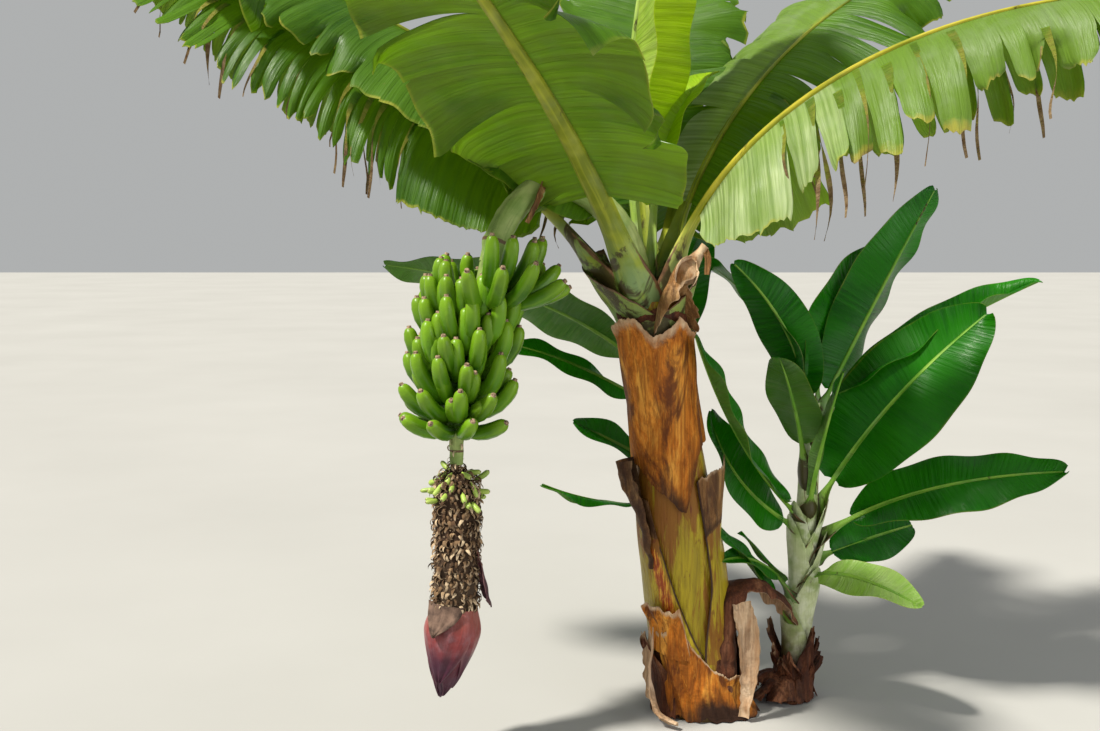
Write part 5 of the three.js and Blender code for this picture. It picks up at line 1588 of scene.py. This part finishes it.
# %% Sucker sheaths
def sucker_sheath_finish():
    f = Finish("sucker_sheath", 0.5)
    fibres = upright_fibres(f, 300, 4, 3)
    base = f.mix(f.step(f.noise(12, detail=4), 0.35, 0.65), (0.26, 0.36, 0.1), (0.54, 0.6, 0.32))
    colour = f.tint(base, f.step(f.noise(26, detail=5), 0.42, 0.66), 0.75, (0.72, 0.75, 0.56))
    colour = f.tint(colour, f.step(fibres, 0.5, 0.7), 0.3, (0.15, 0.2, 0.06))
    low = f.maths("ADD", f.height(), f.times(f.noise(16, detail=5), 0.3))
    colour = f.mix(f.step(low, 0.42, 0.24), colour, (0.08, 0.04, 0.025))
    spots = f.noise(30, f.stretched((1, 1, 0.5)), 5, rough=0.7)
    colour = f.tint(colour, f.step(spots, 0.62, 0.7), 0.7, (0.12, 0.05, 0.03))
    colour = f.mix(f.step(f.dry, 0.4, 0.8), colour, (0.2, 0.11, 0.05))
    return f.done(colour, f.bump(fibres, 0.0015))


YOUNG_SHEATH = sucker_sheath_finish()
column("sucker_column", RIGHT, 0.83, 40, 60, 2, 2.0, 0.003, YOUNG_SHEATH, "stalk", "sucker_stem")
column("back_sucker_column", BACK, 0.9, 40, 60, 2, 2.0, 0.003, YOUNG_SHEATH, "stalk", "back_sucker_stem")


def sheath_stack(name, stem, rows):
    """Each row is a sheath: the azimuth that it faces, its low and high ends, and how far its top leans out."""
    bm = new_mesh()
    for number, (azimuth, low, high, reach) in enumerate(rows):
        shell(bm, stem, lambda v: (azimuth - lerp(150, 62, v**1.5), azimuth + lerp(150, 62, v**1.5)),
              lambda u: (low, high - 0.1 * sideways(u) ** 1.5),
              lambda u, v: 0.002 + reach * smooth(v, 0.35, 1.1) * (1 - 0.5 * sideways(u)),
              30, 26, seed=number, ragged=0.002, buckle=0.0015,
              edge=lambda u, v: (smooth(sideways(u), 0.93, 1.0) * 0.9, 0))
    wall(bm, THIN_WALL)
    piece(name, bm, (YOUNG_SHEATH,), "stalk")


sheath_stack("sucker_sheaths", RIGHT, [(214, 0.05, 0.3, 0.022), (-57, 0.08, 0.38, 0.03), (25, 0.12, 0.43, 0.02),
             (-13, 0.17, 0.47, 0.034), (202, 0.2, 0.52, 0.03), (-12, 0.27, 0.56, 0.034), (216, 0.3, 0.56, 0.028),
             (136, 0.4, 0.78, 0.014), (191, 0.46, 0.8, 0.012), (0, 0.5, 0.8, 0.014)])
sheath_stack("back_sucker_sheaths", BACK, [(212, 0.1, 0.56, 0.016), (30, 0.2, 0.65, 0.014), (200, 0.3, 0.7, 0.016),
             (70, 0.4, 0.88, 0.012), (188, 0.45, 0.88, 0.014)])

# %% [markdown]
# ## What is dead at the foot
# Old sheaths stand round each sucker's foot like a torn skirt, a dead leaf arches over towards the main stem,
# and a bleached strip hangs beside it to the ground. Dead scraps hide the shoulder of the root between the
# stems. All are scrolls and shells.

# %% Dead skirt, arch and strip
ROOT_SHOULDER = np.array([0.235, 0.045, 0.0])
bm = new_mesh()
stubs(bm, RIGHT, 8, 0, 360, 0.14, 0.25, 0.05, 820)
stubs(bm, RIGHT, 9, 15, 375, 0.06, 0.17, 0.09, 860)
wall(bm, THIN_WALL)
piece("dead_skirt", bm, (DEAD,), "dead_leaf", "sucker_dead_sheaths")

bm = new_mesh()
stubs(bm, BACK, 6, 0, 360, 0.12, 0.24, 0.04, 900)
stubs(bm, BACK, 6, 20, 380, 0.05, 0.14, 0.06, 940)
wall(bm, THIN_WALL)
piece("back_sucker_skirt", bm, (DEAD,), "dead_leaf")

bm = new_mesh()
for number, (angle, reach, high) in enumerate([
    (175, 0.105, 0.06), (205, 0.09, 0.055), (150, 0.11, 0.06), (20, 0.05, 0.06), (-40, 0.05, 0.06), (-80, 0.06, 0.055),
    (240, 0.07, 0.05), (110, 0.07, 0.05),
]):
    way = heading(angle)
    halfway = ROOT_SHOULDER + way * reach * 0.5 + UP * (high * 0.9 + 0.01)
    scroll(bm, [ROOT_SHOULDER + UP * high, halfway, ROOT_SHOULDER + way * reach + UP * 0.016],
           lambda v: 0.04 - 0.012 * v, 120, lambda v: 14 * np.sin(number * 2) + 10 * v,
           18, 22, seed=30 + number, ragged=0.4, buckle=0.01, edge=lambda u, v: (0, 0.2))
wall(bm, THIN_WALL)
piece("dead_scraps", bm, (DEAD,), "dry_sheath", "root_shoulder")

bm = new_mesh()
scroll(bm, [(0.262, 0.04, 0.225), (0.215, 0.005, 0.3), (0.15, -0.025, 0.345), (0.09, -0.045, 0.35),
            (0.055, -0.07, 0.32), (0.042, -0.09, 0.24), (0.045, -0.095, 0.15), (0.05, -0.1, 0.04)],
       lambda v: lerp(0.02, 0.046, smooth(v, 0, 0.4)) - 0.012 * smooth(v, 0.85, 1), lambda v: 165 - 20 * v,
       lambda v: -75 * smooth(v, 0.35, 0.7), 26, 76, seed=41, ragged=0.25, buckle=0.012,
       edge=lambda u, v: (smooth(sideways(u), 0.9, 1) * 0.6, 0))
outward(bm)
for face in thicken(bm, THIN_WALL):
    face.material_index = 1
piece("dead_arch", bm, (PALE_SHEATH, DEAD), "dead_leaf", "dead_leaf_arch")

bm = new_mesh()
scroll(bm, [(0.095, -0.095, 0.322), (0.112, -0.112, 0.24), (0.116, -0.12, 0.14), (0.1, -0.125, 0.014)],
       lambda v: 0.03 - 0.006 * v, lambda v: 110 + 40 * np.sin(v * 5), lambda v: 25 * v,
       16, 50, up=(0, 1, 0), seed=44, ragged=0.5, buckle=0.008, edge=lambda u, v: (0.35 + 0.4 * np.sin(v * 9), 0))
wall(bm, PAPERY_WALL)
piece("dead_strip", bm, (PALE_SHEATH,), "dry_sheath", "dead_leaf_strip")
